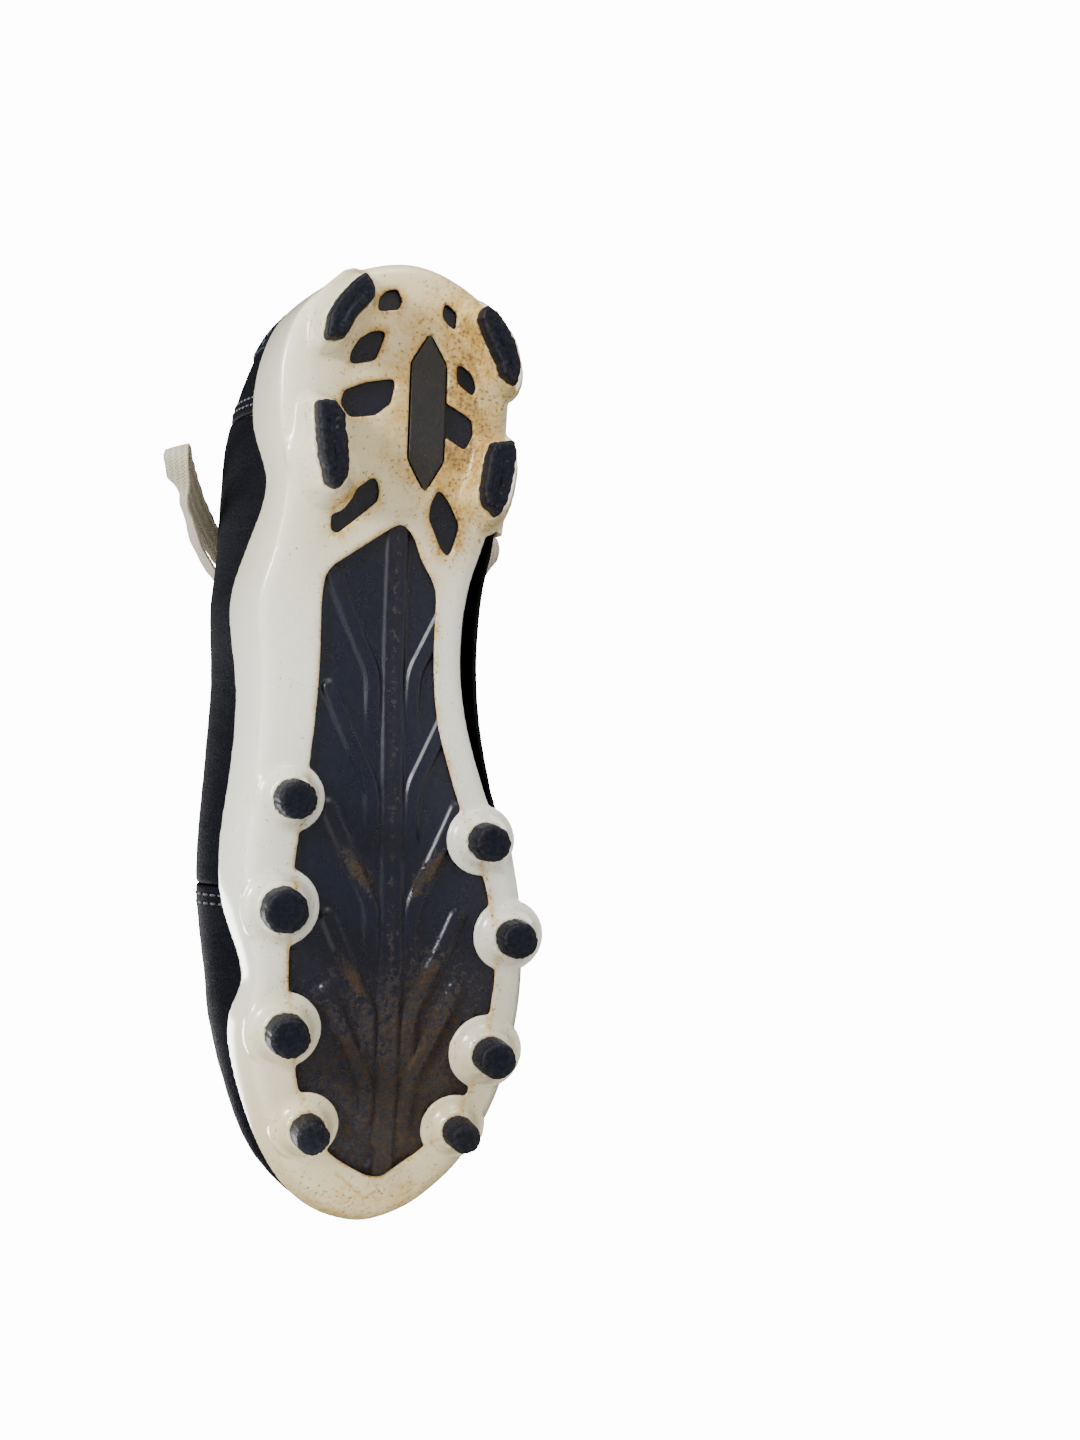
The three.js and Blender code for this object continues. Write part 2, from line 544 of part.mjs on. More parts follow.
// A shell that runs from one side over the ridge to the other, and folds together at the toe.
function hood({ from, to, low, inner, outer }) {
  const columns = between(stations, from, to);
  const last = levels.length - 1;
  return sheetSolid((i, j, level) => {
    const side = j <= last ? columns[i] : -columns[i];
    const v = Math.max(levels[j <= last ? j : 2 * last - j], low(columns[i]));
    return skinPoint(side, v, level ? outer(side, v) : inner(side, v));
  }, columns.length - 1, 2 * last, to === 1);
}
const fixed = (value) => () => value;
const rimV = 0.003; // the skin's bottom edge
const liningV = 0.07; // the linings start this far up
const liningOuter = -(upperThick + seamGap + stiffenerThick + seamGap);
const liningInner = liningOuter - liningThick;
const vampBack = throatFront + 0.008;
const seamS = 0.0015; // seam between two panels of the upper
const heelPanelEnd = 0.2;
const collarLiningEnd = 0.41;
// How far the collar padding pushes the lining in.
const padDepth = (s, v) => {
  const near = 1 - THREE.MathUtils.smoothstep(Math.abs(s), 0.33, 0.4);
  return foamThick * near * THREE.MathUtils.smoothstep(v / topEdge(s), 0.45, 0.72);
};
const quarterTop = (s) => Math.min(topEdge(s), 0.995);

function uppers() {
  const skin = { inner: fixed(-upperThick), outer: fixed(0), low: fixed(rimV) };
  const [back, front] = [heelPanelEnd, vampBack - seamS];
  return {
    vamp: hood({ ...skin, from: vampBack, to: 1 }),
    quarter_lateral: pierced(shell({ ...skin, from: back, to: front, high: quarterTop }), 1),
    quarter_medial: pierced(shell({ ...skin, from: -front, to: -back, high: quarterTop }), -1),
    heel_panel: shell({ ...skin, from: seamS - back, to: back - seamS, high: topEdge }),
  };
}
function linings() {
  const inside = {
    low: fixed(liningV),
    outer: (s, v) => liningOuter - padDepth(s, v),
    inner: (s, v) => liningInner - padDepth(s, v),
  };
  const high = (s) => Math.min(topEdge(s), 0.98) - 0.012;
  const [back, front] = [collarLiningEnd + 2 * seamS, vampBack - 2 * seamS];
  return {
    collar_lining: shell({ ...inside, from: -collarLiningEnd, to: collarLiningEnd, high }),
    vamp_lining: hood({ ...inside, from: vampBack, to: 1 }),
    quarter_lining_lateral: pierced(shell({ ...inside, from: back, to: front, high }), 1),
    quarter_lining_medial: pierced(shell({ ...inside, from: -front, to: -back, high }), -1),
  };
}
function stiffeners() {
  const layer = {
    inner: fixed(-upperThick - seamGap - stiffenerThick), outer: fixed(-upperThick - seamGap),
  };
  return {
    heel_counter: shell({ ...layer, from: -0.25, to: 0.25, low: fixed(levels[1]), high: fixed(levels[4]) }),
    toe_puff: hood({ ...layer, from: 0.88, to: 1, low: fixed(levels[1]) }),
  };
}
// Foam between the skin and the collar lining.
const collarPadding = () => shell({
  from: -0.3, to: 0.3,
  low: fixed(levels[4] + 0.008),
  high: (s) => topEdge(s) - 0.02,
  outer: fixed(-upperThick - seamGap),
  inner: (s, v) => liningOuter + seamGap - padDepth(s, v),
});
// Reinforcement laid on a quarter along the throat, pierced for the lace.
const overlaySkin = { inner: fixed(seamGap), outer: fixed(seamGap + overlayThick) };
const eyestayWidth = 0.15;
function eyestay(side) {
  const [from, to] = side > 0 ? [0.4, 0.638] : [-0.638, -0.4];
  const top = (s) => Math.min(topEdge(s), 0.985) - 0.006;
  return pierced(shell({
    ...overlaySkin, from, to, low: (s) => Math.min(top(s), 0.96) - eyestayWidth, high: top,
  }), side);
}
const heelOverlay = () => shell({
  ...overlaySkin, from: -0.13, to: 0.13, low: fixed(0.19),
  high: (s) => topEdge(s) - 0.06 - 0.6 * Math.abs(s),
});

// ---- lacing ----
const eyeletSpan = [0.605, 0.427]; // first and last pair along the throat
const eyeletS = Array.from({ length: eyeletPairs }, (_, i) => (
  THREE.MathUtils.lerp(eyeletSpan[0], eyeletSpan[1], i / (eyeletPairs - 1))
));
const eyeletV = (s) => Math.min(topEdge(s), 0.9) - 0.085;
function pierced(solid, side) {
  let made = solid;
  eyeletS.forEach((s) => {
    const at = skinPoint(side * s, eyeletV(s), 0);
    const drill = new THREE.CylinderGeometry(eyeletRadius, eyeletRadius, 14, 12);
    const turn = new THREE.Quaternion().setFromUnitVectors(
      new THREE.Vector3(0, 1, 0), formNormal(side * s, eyeletV(s)),
    );
    made = made.subtract(solidFrom(drill.applyQuaternion(turn).translate(at.x, at.y, at.z)));
  });
  return made;
}
const laceRadius = laceDiameter / 2;
const laceOver = seamGap + overlayThick + 0.5 + laceRadius;
const laceUnder = liningInner - 0.5 - laceRadius;
function tube(points, steps, radius = laceRadius) {
  const sides = 8;
  const section = new THREE.Shape(Array.from({ length: sides }, (_, i) => {
    const turn = (i / sides) * 2 * Math.PI;
    return new THREE.Vector2(radius * Math.cos(turn), radius * Math.sin(turn));
  }));
  const path = new THREE.CatmullRomCurve3(points, false, "centripetal");
  return solidFrom(new THREE.ExtrudeGeometry(section, { steps, extrudePath: path, bevelEnabled: false }));
}
// The laced stretch: a bar over the front pair, then up through each pair of eyelets in turn,
// over the eyestay, across the tongue and under the opposite edge.
function lacing() {
  const strand = (startSide) => {
    const points = [];
    eyeletS.forEach((s, i) => {
      const side = i % 2 ? -startSide : startSide;
      const v = eyeletV(s);
      if (i === 0) {
        points.push(skinPoint(s, 1, laceOver), skinPoint(side * s, v + 0.07, laceOver));
        points.push(skinPoint(side * s, v, laceOver - 1), skinPoint(side * s, v, laceUnder + 1));
      } else {
        points.push(skinPoint(side * s, v, laceUnder + 0.6), skinPoint(side * s, v, laceOver - 1));
      }
      if (i + 1 === eyeletS.length) {
        points.push(skinPoint(side * (s - 0.004), v + 0.07, laceOver));
        return;
      }
      const next = eyeletS[i + 1];
      const share = (f) => THREE.MathUtils.lerp(s, next, f);
      const offset = i === 0 ? laceUnder : laceOver;
      points.push(skinPoint(side * share(0.2), v + 0.075, offset));
      points.push(skinPoint(share(0.5), 1, (offset + laceUnder) / 2));
      points.push(skinPoint(-side * share(0.8), eyeletV(next) + 0.075, laceUnder));
    });
    return tube(points, 52);
  };
  return strand(1).add(strand(-1));
}
// Knot on the tongue, two loops and two free ends with their aglets. The routes are lists of
// [x, y, z] along the loose lace.
const knotSize = [4.6, 6, 4.2];
const knotAt = skinPoint(0.4095, 1, laceUnder + knotSize[2] + 2.6);
const loopRoutes = {
  lateral: [
    [103, 6, 113], [96, 15, 114], [87, 27, 109], [76, 39, 98], [65, 47.5, 84], [56, 53, 69],
    [51.5, 56, 58], [54.5, 57.5, 51], [61.5, 56, 54], [69, 52, 66], [79, 46, 82], [90, 36, 97],
    [100, 23.5, 109.5], [106, 12, 113.5], [106.5, 6, 113.5],
  ],
  medial: [
    [103, -7, 113], [96, -15, 114], [88, -25, 108], [80, -34, 97], [73, -40, 85], [69, -43.5, 75],
    [71, -45, 68], [78, -45, 67.5], [85, -43.5, 75], [91, -40, 86], [98, -32, 98], [104, -22, 108],
    [107, -12, 113.5], [106.8, -7, 113.5],
  ],
};
const endRoutes = {
  lateral: [
    [107.5, 3.5, 115], [113, 9, 117], [122, 18, 113.5], [132, 26, 105], [142, 31.5, 95], [151, 34, 87.5],
  ],
  medial: [
    [107.5, -4.5, 115], [113, -11, 117], [121, -19, 113.5], [131, -26, 104], [140, -31, 94], [150, -34, 86],
  ],
};
const routePoints = (route) => route.map((p) => new THREE.Vector3(...p));
function knot() {
  const ball = new THREE.SphereGeometry(1, 14, 8);
  return solidFrom(ball.scale(...knotSize).translate(knotAt.x, knotAt.y, knotAt.z));
}
// The hard tip on a free end of the lace, in line with it.
function agletOn(route) {
  const [before, end] = routePoints(route).slice(-2);
  const along = end.clone().sub(before).normalize();
  const middle = end.clone().addScaledVector(along, seamGap + aglet.length / 2);
  const turn = new THREE.Quaternion().setFromUnitVectors(new THREE.Vector3(0, 1, 0), along);
  const pin = new THREE.CylinderGeometry(aglet.radius * 0.8, aglet.radius, aglet.length, 12);
  return solidFrom(pin.applyQuaternion(turn).translate(middle.x, middle.y, middle.z));
}

// ---- tongue ----
const tongueTop = 0.352;
const tongueFront = 0.665;
const tongueOuter = laceUnder - laceRadius - 0.6;
const tongue = () => hood({
  from: tongueTop, to: tongueFront, inner: fixed(tongueOuter - tongueThick), outer: fixed(tongueOuter),
  low: (s) => THREE.MathUtils.lerp(0.68, 0.84, (s - tongueTop) / (tongueFront - tongueTop)),
});

// ---- assembly ----
const finishes = {
  frame: { color: 0xe4e2d8, roughness: 0.28, metalness: 0 },
  base: { color: 0x161c2e, roughness: 0.4, metalness: 0 },
  stud: { color: 0x1d2433, roughness: 0.6, metalness: 0 },
  skin: { color: 0x15181f, roughness: 0.7, metalness: 0 },
  overlay: { color: 0x1a2030, roughness: 0.5, metalness: 0 },
  textile: { color: 0x1b1e26, roughness: 0.95, metalness: 0 },
  foam: { color: 0x8d8f94, roughness: 0.95, metalness: 0 },
  board: { color: 0xb9b2a2, roughness: 0.9, metalness: 0 },
  lace: { color: 0xb5a98e, roughness: 0.9, metalness: 0 },
  aglet: { color: 0xcfc8b4, roughness: 0.35, metalness: 0 },
};
const shoe = new THREE.Group();
const footprint = new THREE.Box3();
function place(name, solid, finish, isLoose = false) {
  const mesh = new THREE.Mesh(geometryOf(solid), new THREE.MeshStandardMaterial(finishes[finish]));
  mesh.name = name;
  shoe.add(mesh);
  if (!isLoose) footprint.expandByObject(mesh);
}
const placeAll = (made, finish) => {
  Object.entries(made).forEach(([name, solid]) => place(name, solid, finish));
};
place("outsole_frame", outsoleFrame(), "frame");
place("base_plate", basePlate(), "base");
place("heel_badge", heelBadge(), "base");
studs.forEach((stud) => place(stud.name, studSolid(stud), "stud"));
place("lasting_board", lastingBoard(), "board");
place("sockliner", sockliner(), "textile");
placeAll(uppers(), "skin");
placeAll(linings(), "textile");
placeAll(stiffeners(), "board");
place("collar_padding", collarPadding(), "foam");
place("eyestay_lateral", eyestay(1), "overlay");
place("eyestay_medial", eyestay(-1), "overlay");
place("heel_overlay", heelOverlay(), "overlay");
place("tongue", tongue(), "textile");
place("lace", lacing(), "lace");
place("lace_knot", knot(), "lace");
Object.entries(loopRoutes).forEach(([side, route]) => {
  place(`lace_loop_${side}`, tube(routePoints(route), 26), "lace", true);
});
Object.entries(endRoutes).forEach(([side, route]) => {
  place(`lace_end_${side}`, tube(routePoints(route), 10), "lace", true);
  place(`aglet_${side}`, agletOn(route), "aglet", true);
});
const middle = footprint.getCenter(new THREE.Vector3());
shoe.position.set(-middle.x, -middle.y, -footprint.min.z);

export default shoe;
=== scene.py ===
import math
import bpy
import numpy as np
from mathutils import Matrix, Vector


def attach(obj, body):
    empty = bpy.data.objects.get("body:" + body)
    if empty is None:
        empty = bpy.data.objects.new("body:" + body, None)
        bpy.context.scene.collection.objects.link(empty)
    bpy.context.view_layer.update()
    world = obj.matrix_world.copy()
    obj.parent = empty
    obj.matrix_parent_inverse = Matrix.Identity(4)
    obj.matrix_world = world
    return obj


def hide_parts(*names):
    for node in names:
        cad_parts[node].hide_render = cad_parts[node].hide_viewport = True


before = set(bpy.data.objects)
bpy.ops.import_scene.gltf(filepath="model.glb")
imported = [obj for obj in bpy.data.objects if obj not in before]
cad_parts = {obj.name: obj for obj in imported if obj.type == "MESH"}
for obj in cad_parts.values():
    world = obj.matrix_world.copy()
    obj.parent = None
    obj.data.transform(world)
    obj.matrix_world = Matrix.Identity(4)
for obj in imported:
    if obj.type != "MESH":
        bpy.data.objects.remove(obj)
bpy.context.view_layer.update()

# The heel frame used below is in millimetres, X from the back of the heel, Y to the lateral side.
# This is where its origin lies in the row frame.
heelOrigin = np.array([-138.2505, 0.4532, 0.0])


def rowPoints(points):
    return (np.asarray(points, float) + heelOrigin) * 0.001


print("camera and lights")
cameraSettings = {"place": (-0.009064, 0.112976, -0.476275), "back": (0, 0.30902, -0.95106),
                  "right": (0, -0.95106, -0.30902), "up": (-1, 0, 0), "roll": 2.0, "lens": 43.75}
back = Vector(cameraSettings["back"]).normalized()
right = Vector(cameraSettings["right"])
up = Vector(cameraSettings["up"])
roll = math.radians(cameraSettings["roll"])
right, up = right * math.cos(roll) + up * math.sin(roll), up * math.cos(roll) - right * math.sin(roll)
cameraData = bpy.data.cameras.new("camera")
cameraData.lens = cameraSettings["lens"]
cameraData.sensor_width = 36
cameraData.clip_start = 0.01
camera = bpy.data.objects.new("camera", cameraData)
bpy.context.scene.collection.objects.link(camera)
camera.matrix_world = Matrix((
    (right.x, up.x, back.x, cameraSettings["place"][0]),
    (right.y, up.y, back.y, cameraSettings["place"][1]),
    (right.z, up.z, back.z, cameraSettings["place"][2]),
    (0, 0, 0, 1),
))
bpy.context.scene.camera = camera

# A white surround that lights the shoe only a little, soft area lights and a pale floor.
worldSettings = {"seen": 14.0, "felt": 0.06}
world = bpy.data.worlds.new("studio")
bpy.context.scene.world = world
world.use_nodes = True
sky = world.node_tree
sky.nodes.clear()
lightPath = sky.nodes.new("ShaderNodeLightPath")
seen = sky.nodes.new("ShaderNodeBackground")
seen.inputs["Color"].default_value = (1, 1, 1, 1)
seen.inputs["Strength"].default_value = worldSettings["seen"]
felt = sky.nodes.new("ShaderNodeBackground")
felt.inputs["Color"].default_value = (0.93, 0.96, 1, 1)
felt.inputs["Strength"].default_value = worldSettings["felt"]
skyMix = sky.nodes.new("ShaderNodeMixShader")
skyOut = sky.nodes.new("ShaderNodeOutputWorld")
sky.links.new(lightPath.outputs["Is Camera Ray"], skyMix.inputs[0])
sky.links.new(felt.outputs[0], skyMix.inputs[1])
sky.links.new(seen.outputs[0], skyMix.inputs[2])
sky.links.new(skyMix.outputs[0], skyOut.inputs["Surface"])

lightSettings = [
    {"name": "below_lateral", "place": (-0.35, 0.75, -0.34), "aimHeight": 0.02, "size": 0.22, "power": 13.0},
    {"name": "below_heel", "place": (-0.9, -0.05, -0.4), "aimHeight": 0.02, "size": 0.3, "power": 5.5},
    {"name": "below_toe", "place": (0.9, 0.2, -0.4), "aimHeight": 0.02, "size": 0.5, "power": 2.2},
    {"name": "below_medial", "place": (0.15, -0.9, -0.35), "aimHeight": 0.02, "size": 0.4, "power": 1.8},
    {"name": "above_key", "place": (0.4, 0.6, 0.9), "aimHeight": 0.05, "size": 0.5, "power": 16.0},
    {"name": "above_fill", "place": (-0.5, -0.7, 0.7), "aimHeight": 0.05, "size": 0.8, "power": 7.0},
]
for s in lightSettings:
    lamp = bpy.data.lights.new(s["name"], "AREA")
    lamp.size = s["size"]
    lamp.energy = s["power"]
    lampObject = bpy.data.objects.new(s["name"], lamp)
    bpy.context.scene.collection.objects.link(lampObject)
    lampObject.location = s["place"]
    lampObject.rotation_mode = "QUATERNION"
    aim = Vector((0, 0, s["aimHeight"])) - Vector(s["place"])
    lampObject.rotation_quaternion = aim.to_track_quat("-Z", "Y")

bpy.ops.mesh.primitive_plane_add(size=6, location=(0, 0, -0.0004))
floor = bpy.context.object
floor.name = "floor"
floor.visible_shadow = False
floorPaint = bpy.data.materials.new("floor_paint")
floorPaint.use_nodes = True
floorTree = floorPaint.node_tree
floorShader = floorTree.nodes["Principled BSDF"]
floorShader.inputs["Base Color"].default_value = (0.86, 0.86, 0.85, 1)
floorShader.inputs["Roughness"].default_value = 0.8
floorShader.inputs["Emission Color"].default_value = (0.9, 0.9, 0.89, 1)
floorShader.inputs["Emission Strength"].default_value = 0.55
clearSide = floorTree.nodes.new("ShaderNodeBsdfTransparent")
whichSide = floorTree.nodes.new("ShaderNodeNewGeometry")
sideMix = floorTree.nodes.new("ShaderNodeMixShader")
floorTree.links.new(whichSide.outputs["Backfacing"], sideMix.inputs[0])
floorTree.links.new(floorShader.outputs[0], sideMix.inputs[1])
floorTree.links.new(clearSide.outputs[0], sideMix.inputs[2])
floorTree.links.new(sideMix.outputs[0], floorTree.nodes["Material Output"].inputs["Surface"])
floor.data.materials.append(floorPaint)

# Driving sizes of the shoe in millimetres, the same as the solids have.
soleLength, halfWidth, studReach = 277.0, 42.0, 12.5
frameThick, baseThick, boardThick, linerThick = 1.7, 1.8, 1.2, 4.0
upperThick, overlayThick, liningThick, stiffenerThick, seamGap = 1.4, 0.9, 1.2, 1.1, 0.35
footInset, instepTop, toeBox = 2.2, 117.0, 50.0


# A smooth curve through [t, value, ...]. With a period it closes on itself.
def through(knots, period=0.0):
    table = np.array(knots, float)
    if period:
        before, after = table[-2:].copy(), table[:3].copy()
        before[:, 0] -= period
        after[:, 0] += period
        table = np.vstack([before, table, after])
    t, v = table[:, 0], table[:, 1:]
    ahead = np.minimum(np.arange(len(t)) + 1, len(t) - 1)
    behind = np.maximum(np.arange(len(t)) - 1, 0)
    slope = (v[ahead] - v[behind]) / (t[ahead] - t[behind])[:, None]

    def at(u):
        u = np.asarray(u, float)
        if period:
            u = u - period * np.floor((u - knots[0][0]) / period)
        u = np.clip(u, t[0], t[-1])
        i = np.clip(np.searchsorted(t, u, side="right") - 1, 0, len(t) - 2)
        span = t[i + 1] - t[i]
        f = ((u - t[i]) / span)[..., None]
        span = span[..., None]
        return ((2 * f**3 - 3 * f**2 + 1) * v[i] + (f**3 - 2 * f**2 + f) * span * slope[i]
                + (3 * f**2 - 2 * f**3) * v[i + 1] + (f**3 - f**2) * span * slope[i + 1])
    return at


edgeShares = through([
    [-0.975, 0.989, -0.29], [-0.93, 0.962, -0.5], [-0.885, 0.924, -0.7], [-0.82, 0.856, -0.905],
    [-0.74, 0.769, -1.01], [-0.66, 0.679, -1.0], [-0.6, 0.614, -0.915], [-0.53, 0.538, -0.725],
    [-0.46, 0.469, -0.595], [-0.4, 0.404, -0.545], [-0.34, 0.336, -0.575], [-0.27, 0.264, -0.7],
    [-0.2, 0.18, -0.765], [-0.13, 0.098, -0.785], [-0.08, 0.042, -0.66], [-0.035, 0.007, -0.34],
    [0, -0.002, -0.04],
    [0.05, 0.014, 0.355], [0.1, 0.049, 0.665], [0.155, 0.101, 0.83], [0.215, 0.166, 0.857],
    [0.27, 0.227, 0.805], [0.335, 0.296, 0.87], [0.385, 0.354, 0.965], [0.46, 0.437, 0.925],
    [0.54, 0.527, 0.948], [0.62, 0.614, 1.0], [0.67, 0.671, 0.995], [0.73, 0.74, 0.91],
    [0.775, 0.787, 0.955], [0.83, 0.848, 0.87], [0.885, 0.91, 0.702], [0.94, 0.96, 0.475],
    [0.975, 0.989, 0.23], [1, 1.0, -0.04],
], 2)
spineShare = through([[0, 0.085], [0.155, 0.125], [0.5, 0.485], [0.8, 0.775], [1, 0.885]])
plateRise = through([
    [-0.02, 3.6], [0.02, 1.2], [0.07, 0.1], [0.2, 0.2], [0.4, 4], [0.54, 2.2], [0.68, 0], [0.79, 1.2],
    [0.88, 4.2], [0.95, 8.6], [1.02, 14.5],
])
flare = through([
    [-0.75, -2.2], [-0.62, -1], [-0.52, 3.5], [-0.4, 6], [-0.3, 4], [-0.2, -1], [-0.1, -2.2],
    [0, -2.2], [0.1, -3.4], [0.2, -5], [0.35, -6], [0.6, -6], [0.85, -6], [0.94, -4.4], [1, -2.8],
], 2)
bulge = through([
    [-0.9, 9.5, 0.3], [-0.82, 11.3, 0.31], [-0.7, 12.5, 0.32], [-0.6, 12, 0.33], [-0.5, 10, 0.33],
    [-0.3, 9.5, 0.34], [-0.1, 6.5, 0.36], [0, 4.5, 0.36], [0.1, 6.5, 0.35], [0.155, 7.7, 0.34],
    [0.215, 12.2, 0.33], [0.27, 16, 0.33], [0.335, 14.5, 0.33], [0.385, 12.5, 0.33], [0.46, 14.5, 0.33],
    [0.54, 16, 0.33], [0.67, 16.5, 0.33], [0.73, 17.5, 0.33], [0.775, 14.2, 0.33], [0.83, 13, 0.32],
    [0.885, 12.5, 0.31], [0.94, 9.5, 0.3], [1, 5.5, 0.29],
], 2)
ridgeShares = through([
    [0, 0.055, 0, 0.82], [0.12, 0.1, 0, 0.95], [0.25, 0.2, 0, 1.05], [0.36, 0.31, 0, 1.04],
    [0.42, 0.385, -0.5, 0.937], [0.48, 0.455, -1, 0.83], [0.55, 0.54, -1.5, 0.725],
    [0.63, 0.625, -2.5, 0.635], [0.72, 0.705, -3.5, 0.572], [0.82, 0.785, -4, 0.515],
    [0.91, 0.845, -3.5, 0.47], [1, 0.895, -3, 0.43],
])
arch = through([[0, 1], [0.7, 1], [0.76, 1], [0.88, 0.86], [0.95, 0.72], [1, 0.66]])
squareness = through([[0, 0.62], [0.3, 0.62], [0.6, 0.85], [0.8, 0.85], [1, 0.8]])
throatFront = 0.645
topLine = through([
    [0, 0.62], [0.06, 0.6], [0.14, 0.49], [0.22, 0.42], [0.3, 0.44], [0.35, 0.53], [0.385, 0.68],
    [0.43, 0.775], [0.5, 0.79], [0.57, 0.8], [0.615, 0.84], [0.635, 0.91], [throatFront, 1],
])
wallTop = through([
    [-1, 0.17], [-0.8, 0.14], [-0.64, 0.11], [-0.56, 0.045], [-0.3, 0.045], [-0.24, 0.12], [-0.1, 0.14],
    [0, 0.15], [0.12, 0.15], [0.2, 0.13], [0.27, 0.09], [0.36, 0.135], [0.5, 0.12], [0.64, 0.13],
    [0.73, 0.09], [0.79, 0.13], [0.9, 0.14],
], 2)


def underside(x):
    return studReach + plateRise(np.asarray(x) / soleLength)[..., 0]


def topEdge(s):
    return topLine(np.abs(s))[..., 0]


def smoothstep(x, low, high):
    f = np.clip((np.asarray(x, float) - low) / (high - low), 0, 1)
    return f * f * (3 - 2 * f)


def insetPoint(s, inset):
    edge = edgeShares(s) * [soleLength, halfWidth]
    spineX = spineShare(np.abs(s))[..., 0] * soleLength
    inward = np.stack([spineX, np.zeros_like(spineX)], -1) - edge
    whole = np.linalg.norm(inward, axis=-1)
    return edge + inward * (np.minimum(inset, whole) / whole)[..., None]


def formPoint(s, v):
    s, v = np.broadcast_arrays(np.asarray(s, float), np.asarray(v, float))
    s, v = np.where(v > 1, -s, s), np.where(v > 1, 2 - v, v)
    s = s - 2 * np.floor((s + 1) / 2)
    size = np.abs(s)
    foot = insetPoint(s, -flare(s)[..., 0])
    footHeight = underside(foot[..., 0]) + frameThick + 0.5
    shares = ridgeShares(size)
    toeBlend = smoothstep(size, 0.72, 1)
    ridgeZ = (1 - toeBlend) * shares[..., 2] * instepTop + toeBlend * shares[..., 2] / 0.43 * toeBox
    across = np.stack([shares[..., 0] * soleLength, shares[..., 1]], -1) - foot
    swell, fullest = bulge(s)[..., 0], bulge(s)[..., 1]
    whole = np.minimum(arch(size)[..., 0], 1) * math.pi / 2
    angle = v * whole
    power = squareness(size)[..., 0]
    inwards = (1 - np.maximum(np.cos(angle), 0)**power) / (1 - np.maximum(np.cos(whole), 0)**power)
    height = v / fullest
    swelling = swell * height**2.5 * np.exp(2.5 * (1 - height)) * (1 - v**3)
    plan = foot + across * inwards[..., None]
    plan = plan - across / np.linalg.norm(across, axis=-1)[..., None] * swelling[..., None]
    z = footHeight + (ridgeZ - footHeight) * (np.sin(angle) / np.sin(whole))**0.92
    return np.concatenate([plan, z[..., None]], -1)


def formNormal(s, v):
    s, v = np.broadcast_arrays(np.asarray(s, float), np.asarray(v, float))
    mirrored = v > 1
    s, v = np.where(mirrored, -s, s), np.where(mirrored, 2 - v, v)
    nearEnd = (np.abs(s) > 0.97) | (np.abs(s) < 0.02)
    at = np.maximum(np.where(nearEnd, np.minimum(v, 0.94), v), 0.02)
    along = formPoint(s + 0.008, at) - formPoint(s - 0.008, at)
    rise = formPoint(s, at + 0.012) - formPoint(s, at - 0.012)
    normal = np.cross(rise, along)
    return normal / np.linalg.norm(normal, axis=-1)[..., None]


def skin(s, v, offset):
    return formPoint(s, v) + formNormal(s, v) * np.asarray(offset, float)[..., None]


def newPiece(name, points, faces, material, body="shoe", replaces=()):
    data = bpy.data.meshes.new(name)
    data.from_pydata(rowPoints(points).tolist(), [], [list(map(int, f)) for f in faces])
    obj = bpy.data.objects.new(name, data)
    bpy.context.scene.collection.objects.link(obj)
    finishPiece(obj, material, body, replaces)
    return obj


def finishPiece(obj, material, body="shoe", replaces=()):
    obj.data.materials.clear()
    obj.data.materials.append(material)
    obj.data.shade_smooth()
    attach(obj, body)
    if replaces:
        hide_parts(*replaces)


def activate(obj):
    bpy.ops.object.select_all(action="DESELECT")
    obj.select_set(True)
    bpy.context.view_layer.objects.active = obj


def weld(obj, distance=0.00002):
    activate(obj)
    bpy.ops.object.mode_set(mode="EDIT")
    bpy.ops.mesh.select_all(action="SELECT")
    bpy.ops.mesh.remove_doubles(threshold=distance)
    bpy.ops.mesh.normals_make_consistent(inside=False)
    bpy.ops.object.mode_set(mode="OBJECT")


def applyModifier(obj, kind, **values):
    modifier = obj.modifiers.new(kind.lower(), kind)
    for key, value in values.items():
        setattr(modifier, key, value)
    activate(obj)
    bpy.ops.object.modifier_apply(modifier=modifier.name)


# Points and faces of a solid between two grids of the same size.
def closedSheet(outer, inner):
    rows, columns = outer.shape[:2]
    points = np.concatenate([outer.reshape(-1, 3), inner.reshape(-1, 3)])
    index = np.arange(rows * columns).reshape(rows, columns)
    lift = rows * columns
    a, b, c, d = index[:-1, :-1], index[1:, :-1], index[1:, 1:], index[:-1, 1:]
    quads = [np.stack([a, b, c, d], -1).reshape(-1, 4), np.stack([a, d, c, b], -1).reshape(-1, 4) + lift]
    for line in (index[0], index[-1][::-1], index[::-1, 0], index[:, -1]):
        quads.append(np.stack([line[:-1], line[1:], line[1:] + lift, line[:-1] + lift], -1))
    return points, np.concatenate(quads)


def tubeFaces(rings, sides, capped=True, closed=False):
    i = np.arange(rings if closed else rings - 1)[:, None]
    j = np.arange(sides)[None, :]
    after, nextSide = (i + 1) % rings, (j + 1) % sides
    quads = np.stack([i * sides + j, after * sides + j, after * sides + nextSide, i * sides + nextSide], -1)
    faces = quads.reshape(-1, 4).tolist()
    if capped and not closed:
        faces.append(list(range(sides)))
        faces.append(list(range((rings - 1) * sides, rings * sides))[::-1])
    return faces


# A closed plan outline with its corners cut off again and again.
def softened(outline, times=3):
    points = np.asarray(outline, float)
    for _ in range(times):
        after = np.roll(points, -1, axis=0)
        points = np.stack([0.75 * points + 0.25 * after, 0.25 * points + 0.75 * after], 1).reshape(-1, 2)
    return points


def clipped(outline, share):
    points = np.asarray(outline, float)
    before, after = np.roll(points, 1, axis=0), np.roll(points, -1, axis=0)
    return np.stack([points + (before - points) * share, points + (after - points) * share], 1).reshape(-1, 2)


